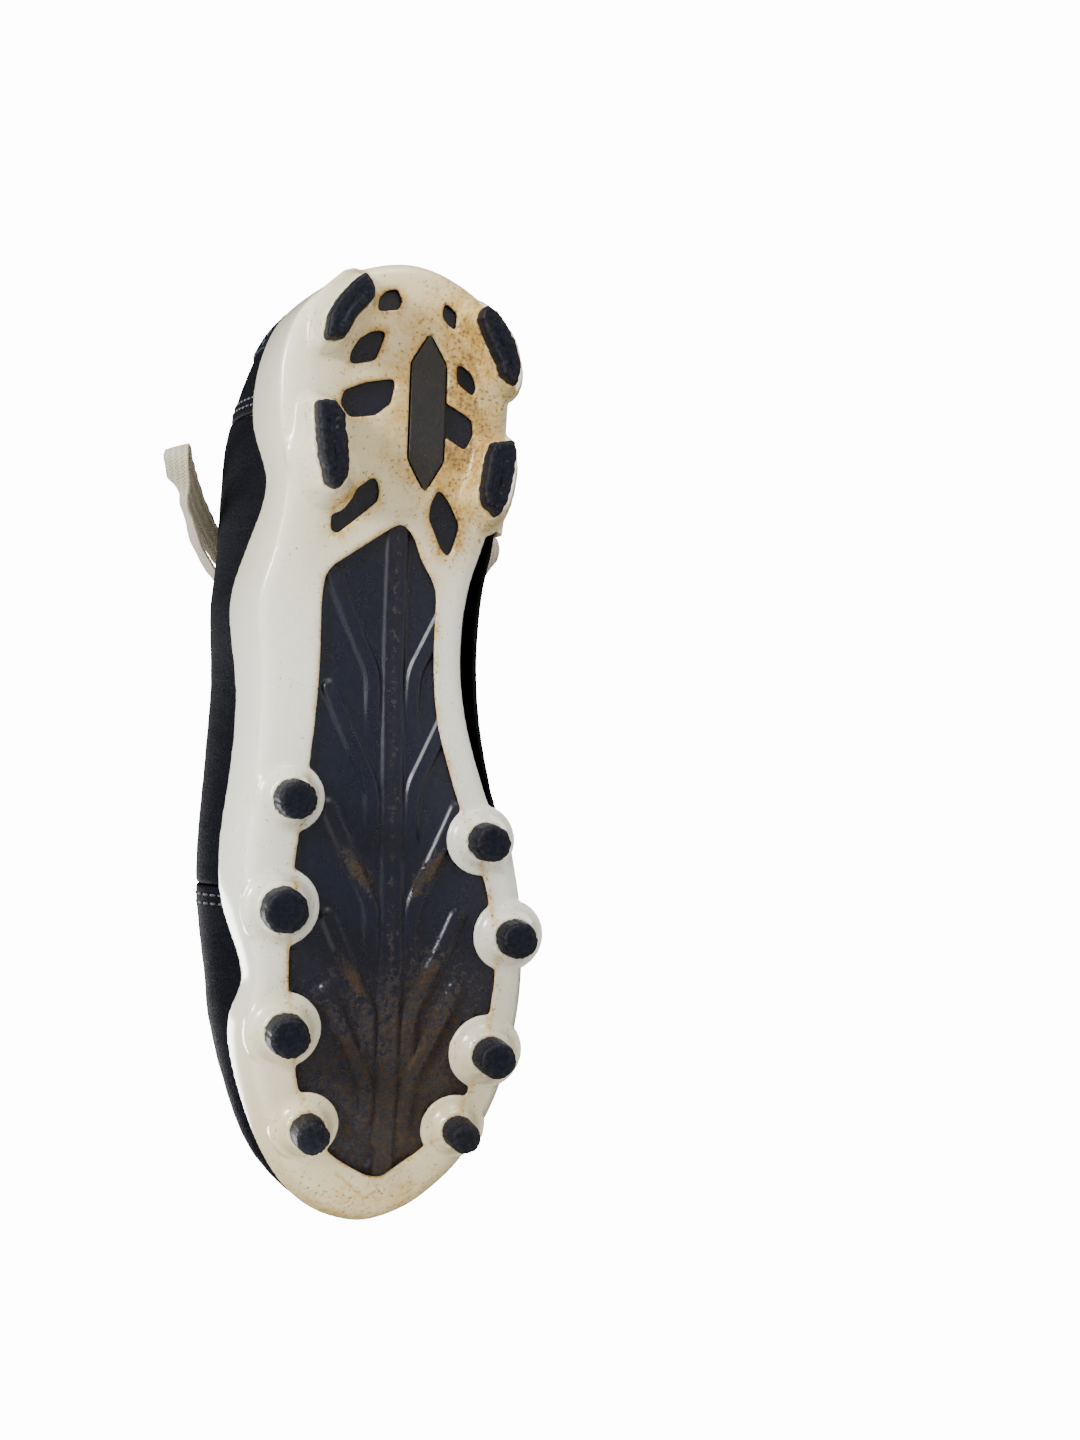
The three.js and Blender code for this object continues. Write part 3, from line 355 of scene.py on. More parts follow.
def resampled(points, count, closed=False):
    points = np.asarray(points, float)
    if closed:
        points = np.vstack([points, points[:1]])
    reach = np.concatenate([[0], np.cumsum(np.linalg.norm(np.diff(points, axis=0), axis=1))])
    at = np.linspace(0, reach[-1], count + 1)[:-1] if closed else np.linspace(0, reach[-1], count)
    return np.stack([np.interp(at, reach, points[:, k]) for k in range(points.shape[1])], -1)


# A closed convex plan outline pushed out by a number, or by one number per point.
def grown(outline, by):
    before = outline - np.roll(outline, 1, axis=0)
    after = np.roll(outline, -1, axis=0) - outline
    along = before / np.linalg.norm(before, axis=1)[:, None] + after / np.linalg.norm(after, axis=1)[:, None]
    normal = np.stack([along[:, 1], -along[:, 0]], -1)
    normal /= np.linalg.norm(normal, axis=1)[:, None]
    if np.sum(normal * (outline - outline.mean(0))) < 0:
        normal = -normal
    return outline + normal * np.broadcast_to(by, len(outline))[:, None]


# Evenly spaced points of a smooth open curve through the given ones.
def splineThrough(points, count):
    points = np.asarray(points, float)
    reach = np.concatenate([[0], np.cumsum(np.sqrt(np.linalg.norm(np.diff(points, axis=0), axis=1)))])
    curve = through(np.column_stack([reach, points]).tolist())
    return resampled(curve(np.linspace(0, reach[-1], 40 * len(points))), count)


def unit(vectors):
    return vectors / np.maximum(np.linalg.norm(vectors, axis=-1), 1e-9)[..., None]


def inPlan(pairs):
    return np.asarray(pairs, float) * [soleLength, halfWidth]


# Distance in plan from points to a polyline.
def distanceTo(points, line, closed=False):
    line = np.asarray(line, float)
    if closed:
        line = np.vstack([line, line[:1]])
    nearest = np.full(len(points), 1e9)
    for a, b in zip(line[:-1], line[1:]):
        ab = b - a
        f = np.clip(((points - a) @ ab) / max(ab @ ab, 1e-9), 0, 1)
        nearest = np.minimum(nearest, np.linalg.norm(points - a - f[:, None] * ab, axis=1))
    return nearest


def setAttribute(obj, name, values, kind="FLOAT"):
    attribute = obj.data.attributes.new(name, kind, "POINT")
    key = "value" if kind == "FLOAT" else "vector"
    attribute.data.foreach_set(key, np.asarray(values, np.float32).ravel())


def vertexPoints(obj):
    flat = np.zeros(len(obj.data.vertices) * 3)
    obj.data.vertices.foreach_get("co", flat)
    return flat.reshape(-1, 3) * 1000 - heelOrigin


def addNode(tree, kind, settings=None, **sockets):
    made = tree.nodes.new("ShaderNode" + kind)
    for key, value in (settings or {}).items():
        setattr(made, key, value)
    for key, value in sockets.items():
        socket = made.inputs[int(key[1:])] if key[1:].isdigit() else made.inputs[key.replace("_", " ")]
        if isinstance(value, bpy.types.NodeSocket):
            tree.links.new(value, socket)
        else:
            socket.default_value = value
    return made


def mathNode(tree, operation, a, b=0.0, clamp=False):
    return addNode(tree, "Math", {"operation": operation, "use_clamp": clamp}, i0=a, i1=b).outputs[0]


def mixColors(tree, share, a, b, blend="MIX"):
    made = addNode(tree, "Mix", {"data_type": "RGBA", "blend_type": blend}, i0=share, i6=a, i7=b)
    return made.outputs[2]


def ramp(tree, value, low, high):
    kind = {"interpolation_type": "SMOOTHSTEP"}
    return addNode(tree, "MapRange", kind, Value=value, From_Min=low, From_Max=high).outputs[0]


def noise(tree, place, scale, detail=4.0, roughness=0.55):
    made = addNode(tree, "TexNoise", None, Vector=place, Scale=scale, Detail=detail, Roughness=roughness)
    return made.outputs[0]


def product(tree, a, b):
    return mathNode(tree, "MULTIPLY", a, b)


def total(tree, a, b, clamp=False):
    return mathNode(tree, "ADD", a, b, clamp)


def objectPlace(tree):
    return addNode(tree, "TexCoord").outputs["Object"]


def newGroup(name, inputs, outputs):
    tree = bpy.data.node_groups.new(name, "ShaderNodeTree")
    for label, kind, value in inputs:
        socket = tree.interface.new_socket(label, in_out="INPUT", socket_type="NodeSocket" + kind)
        socket.default_value = value
    for label, kind in outputs:
        tree.interface.new_socket(label, in_out="OUTPUT", socket_type="NodeSocket" + kind)
    return tree, tree.nodes.new("NodeGroupInput").outputs, tree.nodes.new("NodeGroupOutput").inputs


# Stains, speckles and scuffs laid over a clean colour. Mask is how much dirt a place holds; on the frame it
# also holds painted crease shade.
dirt, have, give = newGroup("dirt", [
    ("Color", "Color", (0.8, 0.8, 0.8, 1)), ("Mask", "Float", 0.0),
    ("Stain", "Color", (0.46, 0.285, 0.06, 1)), ("Speckle", "Float", 0.3), ("Roughness", "Float", 0.3),
], [("Color", "Color"), ("Roughness", "Float"), ("Height", "Float")])
place = objectPlace(dirt)
broad = noise(dirt, place, 130.0, 5.0, 0.62)
fine = noise(dirt, place, 900.0, 4.0, 0.6)
tiny = noise(dirt, place, 2600.0, 2.0, 0.5)
patchy = product(dirt, have["Mask"], total(dirt, product(dirt, broad, 1.5), -0.05))
uneven = product(dirt, mathNode(dirt, "SUBTRACT", fine, 0.5), product(dirt, have["Mask"], 0.9))
patchy = total(dirt, patchy, uneven)
stainShare = ramp(dirt, patchy, 0.1, 0.7)
deepShare = ramp(dirt, patchy, 0.55, 1.05)
specks = ramp(dirt, total(dirt, fine, product(dirt, have["Mask"], 0.12)), 0.66, 0.74)
speckShare = product(dirt, specks, have["Speckle"])
grit = product(dirt, ramp(dirt, tiny, 0.68, 0.74), have["Speckle"])
deepStain = mixColors(dirt, 1.0, have["Stain"], (0.3, 0.26, 0.28, 1), "MULTIPLY")
toned = mixColors(dirt, stainShare, have["Color"], mixColors(dirt, deepShare, have["Stain"], deepStain))
toned = mixColors(dirt, speckShare, toned, (0.11, 0.055, 0.025, 1))
toned = mixColors(dirt, grit, toned, (0.05, 0.035, 0.025, 1))
dirt.links.new(toned, give["Color"])
rougher = total(dirt, have["Roughness"], product(dirt, stainShare, 0.35))
rougher = total(dirt, rougher, product(dirt, mathNode(dirt, "SUBTRACT", broad, 0.5), 0.22))
dirt.links.new(total(dirt, rougher, product(dirt, speckShare, 0.3), True), give["Roughness"])
dirt.links.new(total(dirt, product(dirt, stainShare, fine), speckShare), give["Height"])

# Fine leather-like grain.
grain, have, give = newGroup("grain", [("Scale", "Float", 900.0)], [("Height", "Float"), ("Tone", "Float")])
place = objectPlace(grain)
bent = addNode(grain, "TexNoise", None, Vector=place, Scale=350.0, Detail=2.0).outputs["Color"]
bend = (0.0012, 0.0012, 0.0012)
shifted = addNode(grain, "VectorMath", {"operation": "MULTIPLY_ADD"}, i0=bent, i1=bend, i2=place).outputs[0]
cells = addNode(grain, "TexVoronoi", {"feature": "DISTANCE_TO_EDGE"}, Vector=shifted, Scale=have["Scale"])
pebbles = ramp(grain, cells.outputs["Distance"], 0.0, 0.22)
wrinkles = noise(grain, place, 60.0, 3.0)
grain.links.new(total(grain, pebbles, product(grain, wrinkles, 1.5)), give["Height"])
grain.links.new(product(grain, pebbles, total(grain, wrinkles, 0.5)), give["Tone"])

# Knitted textile: a fine mesh of loops.
knit, have, give = newGroup("knit", [("Scale", "Float", 700.0)], [("Height", "Float"), ("Tone", "Float")])
place = objectPlace(knit)
loops = addNode(knit, "TexVoronoi", {"feature": "F1"}, Vector=place, Scale=have["Scale"], Randomness=0.35)
fuzz = noise(knit, place, 3000.0, 3.0)
hollow = ramp(knit, loops.outputs["Distance"], 0.15, 0.6)
knit.links.new(total(knit, product(knit, hollow, -1.0), product(knit, fuzz, 0.4)), give["Height"])
knit.links.new(total(knit, product(knit, hollow, -0.6), total(knit, fuzz, 0.6)), give["Tone"])

# Flat woven lace: herringbone of threads. Lay holds millimetres along and across the ribbon.
plait, have, give = newGroup("plait", [("Lay", "Vector", (0, 0, 0))],
                             [("Height", "Float"), ("Tone", "Float")])
parts = addNode(plait, "SeparateXYZ", None, Vector=have["Lay"]).outputs
zigzag = mathNode(plait, "PINGPONG", parts[1], 0.95)
lean = total(plait, parts[0], product(plait, zigzag, 1.1))
threads = mathNode(plait, "SINE", product(plait, lean, 6.2))
columns = mathNode(plait, "SINE", product(plait, parts[1], 3.307))
hairs = addNode(plait, "TexNoise", None, Vector=have["Lay"], Scale=4.0, Detail=4.0).outputs[0]
woven = total(plait, product(plait, threads, 0.5), product(plait, columns, 0.35))
plait.links.new(total(plait, woven, hairs), give["Height"])
plait.links.new(total(plait, product(plait, woven, 0.22), hairs, True), give["Tone"])


def useGroup(tree, group, **sockets):
    made = tree.nodes.new("ShaderNodeGroup")
    made.node_tree = group
    for key, value in sockets.items():
        if isinstance(value, bpy.types.NodeSocket):
            tree.links.new(value, made.inputs[key])
        else:
            made.inputs[key].default_value = value
    return made.outputs


def newMaterial(name, metallic=0.0, coat=0.0, ior=1.5, sheen=0.0, shine=0.5):
    material = bpy.data.materials.new(name)
    material.use_nodes = True
    tree = material.node_tree
    shader = tree.nodes["Principled BSDF"]
    shader.inputs["Metallic"].default_value = metallic
    shader.inputs["Coat Weight"].default_value = coat
    shader.inputs["Coat Roughness"].default_value = 0.12
    shader.inputs["IOR"].default_value = ior
    shader.inputs["Sheen Weight"].default_value = sheen
    shader.inputs["Specular IOR Level"].default_value = shine
    return material, tree, shader


def wire(tree, shader, color, roughness, height=None, strength=0.4, distance=0.0003):
    for value, socket in ((color, "Base Color"), (roughness, "Roughness")):
        if isinstance(value, bpy.types.NodeSocket):
            tree.links.new(value, shader.inputs[socket])
        else:
            shader.inputs[socket].default_value = value
    if height is not None:
        bump = addNode(tree, "Bump", None, Strength=strength, Distance=distance, Height=height)
        tree.links.new(bump.outputs[0], shader.inputs["Normal"])


def mask(tree, name):
    return addNode(tree, "Attribute", {"attribute_name": name}).outputs["Fac"]


print("materials")
# Moulded off-white plastic of the frame, creamier where it has yellowed; its soil mask lays stains and
# painted crease shade.
framePaint, tree, shader = newMaterial("frame_plastic", coat=0.6)
place = objectPlace(tree)
aged = mixColors(tree, mask(tree, "yellow"), (0.69, 0.70, 0.625, 1), (0.64, 0.545, 0.30, 1))
cloud = noise(tree, place, 24.0, 3.0)
aged = mixColors(tree, product(tree, cloud, 0.28), aged, (0.57, 0.56, 0.45, 1))
soiled = useGroup(tree, dirt, Color=aged, Mask=mask(tree, "soilAndCreaseShade"), Speckle=0.75, Roughness=0.24)
ridged = {"noise_type": "RIDGED_MULTIFRACTAL"}
scratches = addNode(tree, "TexNoise", ridged, Vector=place, Scale=260.0, Detail=3.0)
relief = total(tree, product(tree, soiled["Height"], 0.6), product(tree, scratches.outputs[0], 0.12))
wire(tree, shader, soiled["Color"], soiled["Roughness"], relief, 0.35, 0.00025)
shader.inputs["Subsurface Weight"].default_value = 0.06
shader.inputs["Subsurface Radius"].default_value = (0.003, 0.002, 0.001)

# Glossy dark plate with dried mud.
basePaint, tree, shader = newMaterial("base_plastic", coat=0.0, ior=1.42)
place = objectPlace(tree)
muddy = mask(tree, "mud")
crumbs = noise(tree, place, 420.0, 6.0, 0.7)
clumps = total(tree, muddy, product(tree, mathNode(tree, "SUBTRACT", crumbs, 0.5), 1.5))
mudShare = ramp(tree, clumps, 0.42, 0.8)
navy = mixColors(tree, noise(tree, place, 90.0, 4.0), (0.001, 0.002, 0.0098, 1), (0.0021, 0.0038, 0.0145, 1))
filmShare = product(tree, noise(tree, place, 210.0, 5.0), total(tree, product(tree, muddy, 0.7), 0.05))
film = mixColors(tree, filmShare, navy, (0.022, 0.0135, 0.008, 1))
mudTone = mixColors(tree, crumbs, (0.0035, 0.0025, 0.0018, 1), (0.062, 0.037, 0.018, 1))
tone = mixColors(tree, mudShare, film, mudTone)
dull = total(tree, 0.2, product(tree, noise(tree, place, 300.0), 0.2))
rough = total(tree, product(tree, mudShare, 0.55), dull, True)
wire(tree, shader, tone, rough, product(tree, mudShare, crumbs), 0.8, 0.0009)

# Matt dark rubber-like plastic of the studs, paler where it is worn.
studPaint, tree, shader = newMaterial("stud_plastic", ior=1.33, shine=0.3)
place = objectPlace(tree)
wear = mask(tree, "wear")
rubbed = product(tree, wear, ramp(tree, noise(tree, place, 700.0, 5.0, 0.7), 0.38, 0.72))
mottle = noise(tree, place, 160.0, 5.0)
navy = mixColors(tree, mottle, (0.0014, 0.0021, 0.0062, 1), (0.0045, 0.006, 0.0132, 1))
worn = mixColors(tree, product(tree, rubbed, 0.62), navy, (0.03, 0.03, 0.032, 1))
soiled = useGroup(tree, dirt, Color=worn, Mask=product(tree, wear, 0.25), Stain=(0.05, 0.028, 0.014, 1),
                  Speckle=0.4, Roughness=0.55)
wire(tree, shader, soiled["Color"], soiled["Roughness"], noise(tree, place, 900.0, 5.0, 0.7), 0.5, 0.0004)

# Satin dark plastic of the badge.
badgePaint, tree, shader = newMaterial("badge_plastic")
place = objectPlace(tree)
base = mixColors(tree, noise(tree, place, 200.0, 5.0), (0.0035, 0.004, 0.006, 1), (0.011, 0.012, 0.0155, 1))
soiled = useGroup(tree, dirt, Color=base, Mask=0.16, Stain=(0.05, 0.028, 0.014, 1), Speckle=0.5,
                  Roughness=0.42)
wire(tree, shader, soiled["Color"], soiled["Roughness"], noise(tree, place, 800.0, 4.0), 0.3, 0.0003)


def leather(name, dark, light, roughness, scale, coat, dust):
    material, tree, shader = newMaterial(name, coat=coat, ior=1.24, shine=0.2)
    texture = useGroup(tree, grain, Scale=scale)
    base = mixColors(tree, texture["Tone"], dark, light)
    soiled = useGroup(tree, dirt, Color=base, Mask=dust, Stain=(0.03, 0.022, 0.016, 1), Speckle=0.25,
                      Roughness=roughness)
    wire(tree, shader, soiled["Color"], soiled["Roughness"], texture["Height"], 0.35, 0.0003)
    return material


def textile(name, dark, light, scale, dust, strength=0.7):
    material, tree, shader = newMaterial(name, sheen=0.06, ior=1.35)
    texture = useGroup(tree, knit, Scale=scale)
    base = mixColors(tree, texture["Tone"], dark, light)
    soiled = useGroup(tree, dirt, Color=base, Mask=dust, Stain=(0.04, 0.028, 0.018, 1), Speckle=0.15,
                      Roughness=0.9)
    wire(tree, shader, soiled["Color"], soiled["Roughness"], texture["Height"], strength, 0.0005)
    return material


skinPaint = leather("upper_skin", (0.0006, 0.0008, 0.0021, 1), (0.0018, 0.0024, 0.005, 1),
                    0.66, 1100.0, 0.0, 0.1)
overlayPaint = leather("upper_overlay", (0.002, 0.0028, 0.0065, 1), (0.0055, 0.007, 0.014, 1),
                       0.45, 1700.0, 0.04, 0.08)
liningPaint = textile("lining_textile", (0.0022, 0.0026, 0.004, 1), (0.01, 0.011, 0.015, 1), 900.0, 0.08)
sockPaint = textile("sockliner_textile", (0.004, 0.0046, 0.007, 1), (0.017, 0.019, 0.026, 1), 1300.0, 0.3)
tonguePaint = textile("tongue_textile", (0.0022, 0.003, 0.005, 1), (0.012, 0.014, 0.021, 1), 480.0, 0.1, 1.0)
collarPaint = textile("collar_textile", (0.0025, 0.003, 0.005, 1), (0.011, 0.012, 0.017, 1), 620.0, 0.1, 1.0)
boardPaint = textile("lasting_fibre", (0.3, 0.27, 0.22, 1), (0.5, 0.46, 0.38, 1), 1500.0, 0.15, 0.3)

# Woven cotton of the lace, its threads laid along the ribbon.
lacePaint, tree, shader = newMaterial("lace_cotton", sheen=0.3)
lay = addNode(tree, "Attribute", {"attribute_name": "lay"}).outputs["Vector"]
texture = useGroup(tree, plait, Lay=lay)
cotton = mixColors(tree, texture["Tone"], (0.24, 0.195, 0.12, 1), (0.66, 0.59, 0.43, 1))
soiled = useGroup(tree, dirt, Color=cotton, Mask=0.2, Stain=(0.2, 0.125, 0.06, 1), Speckle=0.25,
                  Roughness=0.88)
wire(tree, shader, soiled["Color"], soiled["Roughness"], texture["Height"], 0.8, 0.0005)

# Clear film of the lace tips over the cotton.
agletPaint, tree, shader = newMaterial("aglet_plastic", coat=0.4)
place = objectPlace(tree)
film = mixColors(tree, noise(tree, place, 300.0, 4.0), (0.62, 0.56, 0.42, 1), (0.42, 0.36, 0.25, 1))
soiled = useGroup(tree, dirt, Color=film, Mask=0.2, Speckle=0.3, Roughness=0.28)
wire(tree, shader, soiled["Color"], soiled["Roughness"], noise(tree, place, 600.0), 0.3, 0.0003)

# Twisted dark thread of the seams.
threadPaint, tree, shader = newMaterial("stitch_thread", sheen=0.3)
twist = noise(tree, objectPlace(tree), 2500.0, 3.0)
base = mixColors(tree, twist, (0.006, 0.0075, 0.013, 1), (0.024, 0.027, 0.038, 1))
wire(tree, shader, base, 0.8, twist, 0.6, 0.0003)


# Ribbon of flat lace along a line. Facing is the direction its flat side looks in.
def ribbon(name, line, facing, width, thick, closed=False, sides=22):
    if closed:
        along = unit(np.roll(line, -1, axis=0) - np.roll(line, 1, axis=0))
    else:
        along = unit(np.gradient(line, axis=0))
    facing = unit(facing - np.sum(facing * along, 1)[:, None] * along)
    across = np.cross(along, facing)
    turn = np.linspace(0, 2 * math.pi, sides, endpoint=False)
    flatX = np.sign(np.cos(turn)) * np.abs(np.cos(turn))**0.45
    flatY = np.sign(np.sin(turn)) * np.abs(np.sin(turn))**0.75 * (1 - 0.16 * np.cos(3 * np.pi * flatX / 2)**2)
    width = np.broadcast_to(width, len(line))[:, None]
    thick = np.broadcast_to(thick, len(line))[:, None]
    reach = np.concatenate([[0], np.cumsum(np.linalg.norm(np.diff(line, axis=0), axis=1))])
    wave = 1 + 0.03 * np.sin(reach * 0.9 + 1.3 * np.sin(reach * 0.31))[:, None]
    x = flatX[None] * width * wave / 2
    y = flatY[None] * thick / 2
    cup = 0.10 * np.sin(reach * 0.4)[:, None] * (x / 3.0)**2
    points = line[:, None] + across[:, None] * x[..., None] + facing[:, None] * (y + cup)[..., None]
    faces = tubeFaces(len(line), sides, closed=closed)
    obj = newPiece(name, points.reshape(-1, 3), faces, lacePaint)
    along, whichSide = np.broadcast_to(reach[:, None], x.shape), np.broadcast_to(np.sign(y) * 5, x.shape)
    lay = np.stack([along, x, whichSide], -1)
    setAttribute(obj, "lay", lay.reshape(-1, 3), "FLOAT_VECTOR")
    weld(obj, 0.000001)
    return obj


# The loops and free ends of the bow, each printed with the length of its line.
print("loose lace")
laceSettings = {"width": 7.5, "thick": 1.3, "step": 0.9}
loopRoutes = {
    "lateral": [
        [103, 6, 113], [96, 15, 114], [87, 27, 109], [76, 39, 98], [65, 47.5, 84], [56, 53, 69],
        [51.5, 56, 58], [54.5, 57.5, 51], [61.5, 56, 54], [69, 52, 66], [79, 46, 82], [90, 36, 97],
        [100, 23.5, 109.5], [106, 12, 113.5], [106.5, 6, 113.5],
    ],
    "medial": [
        [103, -7, 113], [96, -15, 114], [88, -25, 108], [80, -34, 97], [73, -40, 85], [69, -43.5, 75],
        [71, -45, 68], [78, -45, 67.5], [85, -43.5, 75], [91, -40, 86], [98, -32, 98], [104, -22, 108],
        [107, -12, 113.5], [106.8, -7, 113.5],
    ],
}
endRoutes = {
    "lateral": [
        [107.5, 3.5, 115], [113, 9, 117], [122, 18, 113.5], [132, 26, 105], [142, 31.5, 95],
        [151, 34, 87.5],
    ],
    "medial": [
        [107.5, -4.5, 115], [113, -11, 117], [121, -19, 113.5], [131, -26, 104], [140, -31, 94],
        [150, -34, 86],
    ],
}


# How many points a ribbon along a route gets.
def pointsAlong(route):
    return int(sum(np.linalg.norm(np.diff(np.array(route), axis=0), axis=1)) / laceSettings["step"])


# Length of a ribbon's line in metres.
def declareCord(line):
    path = rowPoints(line)
    length = float(sum(np.linalg.norm(np.diff(path, axis=0), axis=1)))
    return round(length, 4)


for side, route in loopRoutes.items():
    count = pointsAlong(route)
    line = splineThrough(route, count)
    share = np.linspace(0, 1, count)
    outward = unit(line - line.mean(0))
    nearKnot = (1 - smoothstep(share, 0.0, 0.22)) + smoothstep(share, 0.78, 1.0)
    facing = outward * (1 - 0.75 * nearKnot)[:, None] + np.array([0.25, 0, 1.0]) * nearKnot[:, None]
    width = laceSettings["width"] * (1 - 0.38 * nearKnot**3)
    loop = ribbon("lace_loop_" + side + "_flat", line, facing, width, laceSettings["thick"])
    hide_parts("lace_loop_" + side)
    print("  loop", side, declareCord(line))

agletSettings = {"length": 18.0, "radius": 1.9, "gap": 0.35}
for side, route in endRoutes.items():
    count = pointsAlong(route)
    line = splineThrough(route, count)
    share = np.linspace(0, 1, count)
    sway = 1 if side == "lateral" else -1
    facing = np.array([0.2, 0.25 * sway, 1.0]) + share[:, None] * np.array([0.3, 0.5 * sway, -0.1])
    nearKnot, nearTip = 1 - smoothstep(share, 0, 0.2), smoothstep(share, 0.84, 1.0)
    width = laceSettings["width"] * (1 - 0.3 * nearKnot - 0.58 * nearTip)
    thick = laceSettings["thick"] * (1 + 1.1 * nearTip)
    end = ribbon("lace_end_" + side + "_flat", line, facing, width, thick)
    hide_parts("lace_end_" + side)
    before, last = np.array(route[-2], float), np.array(route[-1], float)
    along = unit(last - before)
    middle = rowPoints(last + along * (agletSettings["gap"] + agletSettings["length"] / 2 - 1.0))
    bpy.ops.object.select_all(action="DESELECT")
    bpy.ops.mesh.primitive_cylinder_add(vertices=40, radius=agletSettings["radius"] * 0.00098,
                                        depth=agletSettings["length"] * 0.001, location=middle)
    tip = bpy.context.object
    tip.name = "aglet_" + side + "_tip"
    tip.rotation_mode = "QUATERNION"
    tip.rotation_quaternion = Vector(along).to_track_quat("Z", "Y")
    bpy.ops.object.transform_apply(location=True, rotation=True, scale=True)
    applyModifier(tip, "BEVEL", width=0.0006, segments=3, limit_method="ANGLE")
    finishPiece(tip, agletPaint, replaces=["aglet_" + side])
    print("  end", side, declareCord(line))


print("studs")
roundStuds = [
    ["lateral_1", 0.554, 0.626, 5.3, 8.6, 1], ["lateral_2", 0.665, 0.676, 6.1, 9.9, 1],
    ["lateral_3", 0.791, 0.624, 5.6, 9.6, 0.98], ["lateral_4", 0.893, 0.44, 4.7, 8.6, 0.86],
    ["medial_1", 0.595, -0.714, 5.2, 8.8, 1], ["medial_2", 0.695, -0.929, 5.2, 9.1, 1],
    ["medial_3", 0.819, -0.805, 5.2, 9.6, 0.98], ["medial_4", 0.9, -0.61, 4.3, 8.3, 0.86],
]
heelBlades = [
    ["lateral_rear", [[0.023, 0.305], [0.035, 0.238], [0.048, 0.233], [0.067, 0.343],
                      [0.09, 0.414], [0.094, 0.548], [0.069, 0.529], [0.044, 0.433]]],
    ["lateral_front", [[0.154, 0.595], [0.155, 0.467], [0.168, 0.405], [0.199, 0.374],
                       [0.23, 0.367], [0.242, 0.438], [0.238, 0.51], [0.199, 0.567]]],
    ["medial_rear", [[0.043, -0.533], [0.058, -0.495], [0.077, -0.557], [0.099, -0.638],
                     [0.114, -0.671], [0.122, -0.771], [0.105, -0.795], [0.075, -0.738], [0.052, -0.629]]],
    ["medial_front", [[0.183, -0.614], [0.211, -0.576], [0.243, -0.557], [0.261, -0.671],
                      [0.238, -0.738], [0.208, -0.776], [0.179, -0.781]]],
]
studSettings = {"bladeRise": 7.2, "studRise": 4.6, "chips": 0.10, "dents": 0.16, "around": 96,
                "bladeAround": 120}
# How far a blade's pedestal spreads away from the heel's middle, and beside the blade.
bladeSpread = {"lateral_rear": (4.6, 3.6), "lateral_front": (7.4, 4.6), "medial_rear": (4.3, 3.9),
               "medial_front": (4.3, 3.9)}
heelCentre = np.array([38.0, -5.0])
rng = np.random.default_rng(7)


# Smooth random ripple round a closed outline.
def ripple(count, strength, waves):
    turn = np.linspace(0, 2 * math.pi, count, endpoint=False)
    height = np.zeros(count)
    for k in waves:
        height += rng.normal() * np.cos(k * turn + rng.uniform(0, 6.3)) / len(waves)**0.5
    return strength * height


studs = []
for name, along, across, radius, pedestal, reach in roundStuds:
    centre = np.array([along * soleLength, across * halfWidth])
    turn = np.linspace(0, 2 * math.pi, studSettings["around"], endpoint=False)
    outline = centre + radius * np.stack([np.cos(turn), np.sin(turn)], -1)
    studs.append({"name": "stud_" + name, "centre": centre, "outline": outline,
                  "rise": studSettings["studRise"], "spread": pedestal - radius + 0.9, "reach": reach,
                  "round": True})
for name, pairs in heelBlades:
    outline = resampled(softened(clipped(inPlan(pairs), 0.14), 1), studSettings["bladeAround"], closed=True)
    centre = outline.mean(0)
    away = unit(outline - centre)
    outwards = unit(centre - heelCentre)
    facing = away @ outwards
    far, beside = bladeSpread[name]
    spread = np.where(facing > 0, beside + (far - beside) * facing, beside + (beside - 1.9) * facing)
    studs.append({"name": "heel_blade_" + name, "centre": centre, "outline": outline,
                  "rise": studSettings["bladeRise"], "spread": spread, "reach": 1, "round": False})

for s in studs:
    root = float(underside(s["centre"][0]))
    tip = (1 - s["reach"]) * root
    s["root"], s["tip"] = root, tip
    shoulder = root - s["rise"] - 0.3
    outline = s["outline"]
    count = len(outline)
    chips = ripple(count, studSettings["chips"], [3, 5, 7, 11, 17, 23])
    dents = np.minimum(ripple(count, studSettings["dents"], [2, 4, 9, 13, 21]), 0.05)
    rings, wear = [], []
    # How far each ring stands out, its height, and how rubbed it is.
    profile = [
        (-1.6, root + 0.3, 0), (-1.6, shoulder + 0.4, 0), (-0.2, shoulder + 0.15, 0.3),
        (0.32, shoulder - 0.1, 0.5), (0.30, shoulder - 0.7, 0.1), (0.2, (shoulder + tip) / 2, 0.08),
        (0.06, tip + 1.3, 0.2), (-0.06, tip + 0.75, 0.6), (-0.25, tip + 0.38, 0.9), (-0.55, tip + 0.14, 1.0),
        (-0.95, tip + 0.03, 0.9), (-1.8, tip, 0.6), (-3.0, tip + 0.05, 0.45),
    ]
    for by, z, rubbed in profile:
        edge = grown(outline, by + (chips + dents if rubbed > 0.05 else 0))
        lift = 0.12 * np.abs(chips) if rubbed > 0.5 else 0
        rings.append(np.column_stack([edge, np.full(count, z) + lift]))
        wear.append(np.full(count, rubbed))
    # The tip's face closes towards the middle in two smaller rings.
    for shrink, lift in ((0.35, 0.06), (0.05, 0.05)):
        inner = s["centre"] + (rings[-1][:, :2] - s["centre"]) * (shrink if shrink < 0.2 else 0.6)
        rings.append(np.column_stack([inner, np.full(count, tip + lift)]))
        wear.append(np.full(count, 0.4))
    obj = newPiece(s["name"] + "_tip", np.concatenate(rings), tubeFaces(len(rings), count), studPaint,
                   replaces=[s["name"]])
    setAttribute(obj, "wear", np.concatenate(wear))
    weld(obj, 0.000001)


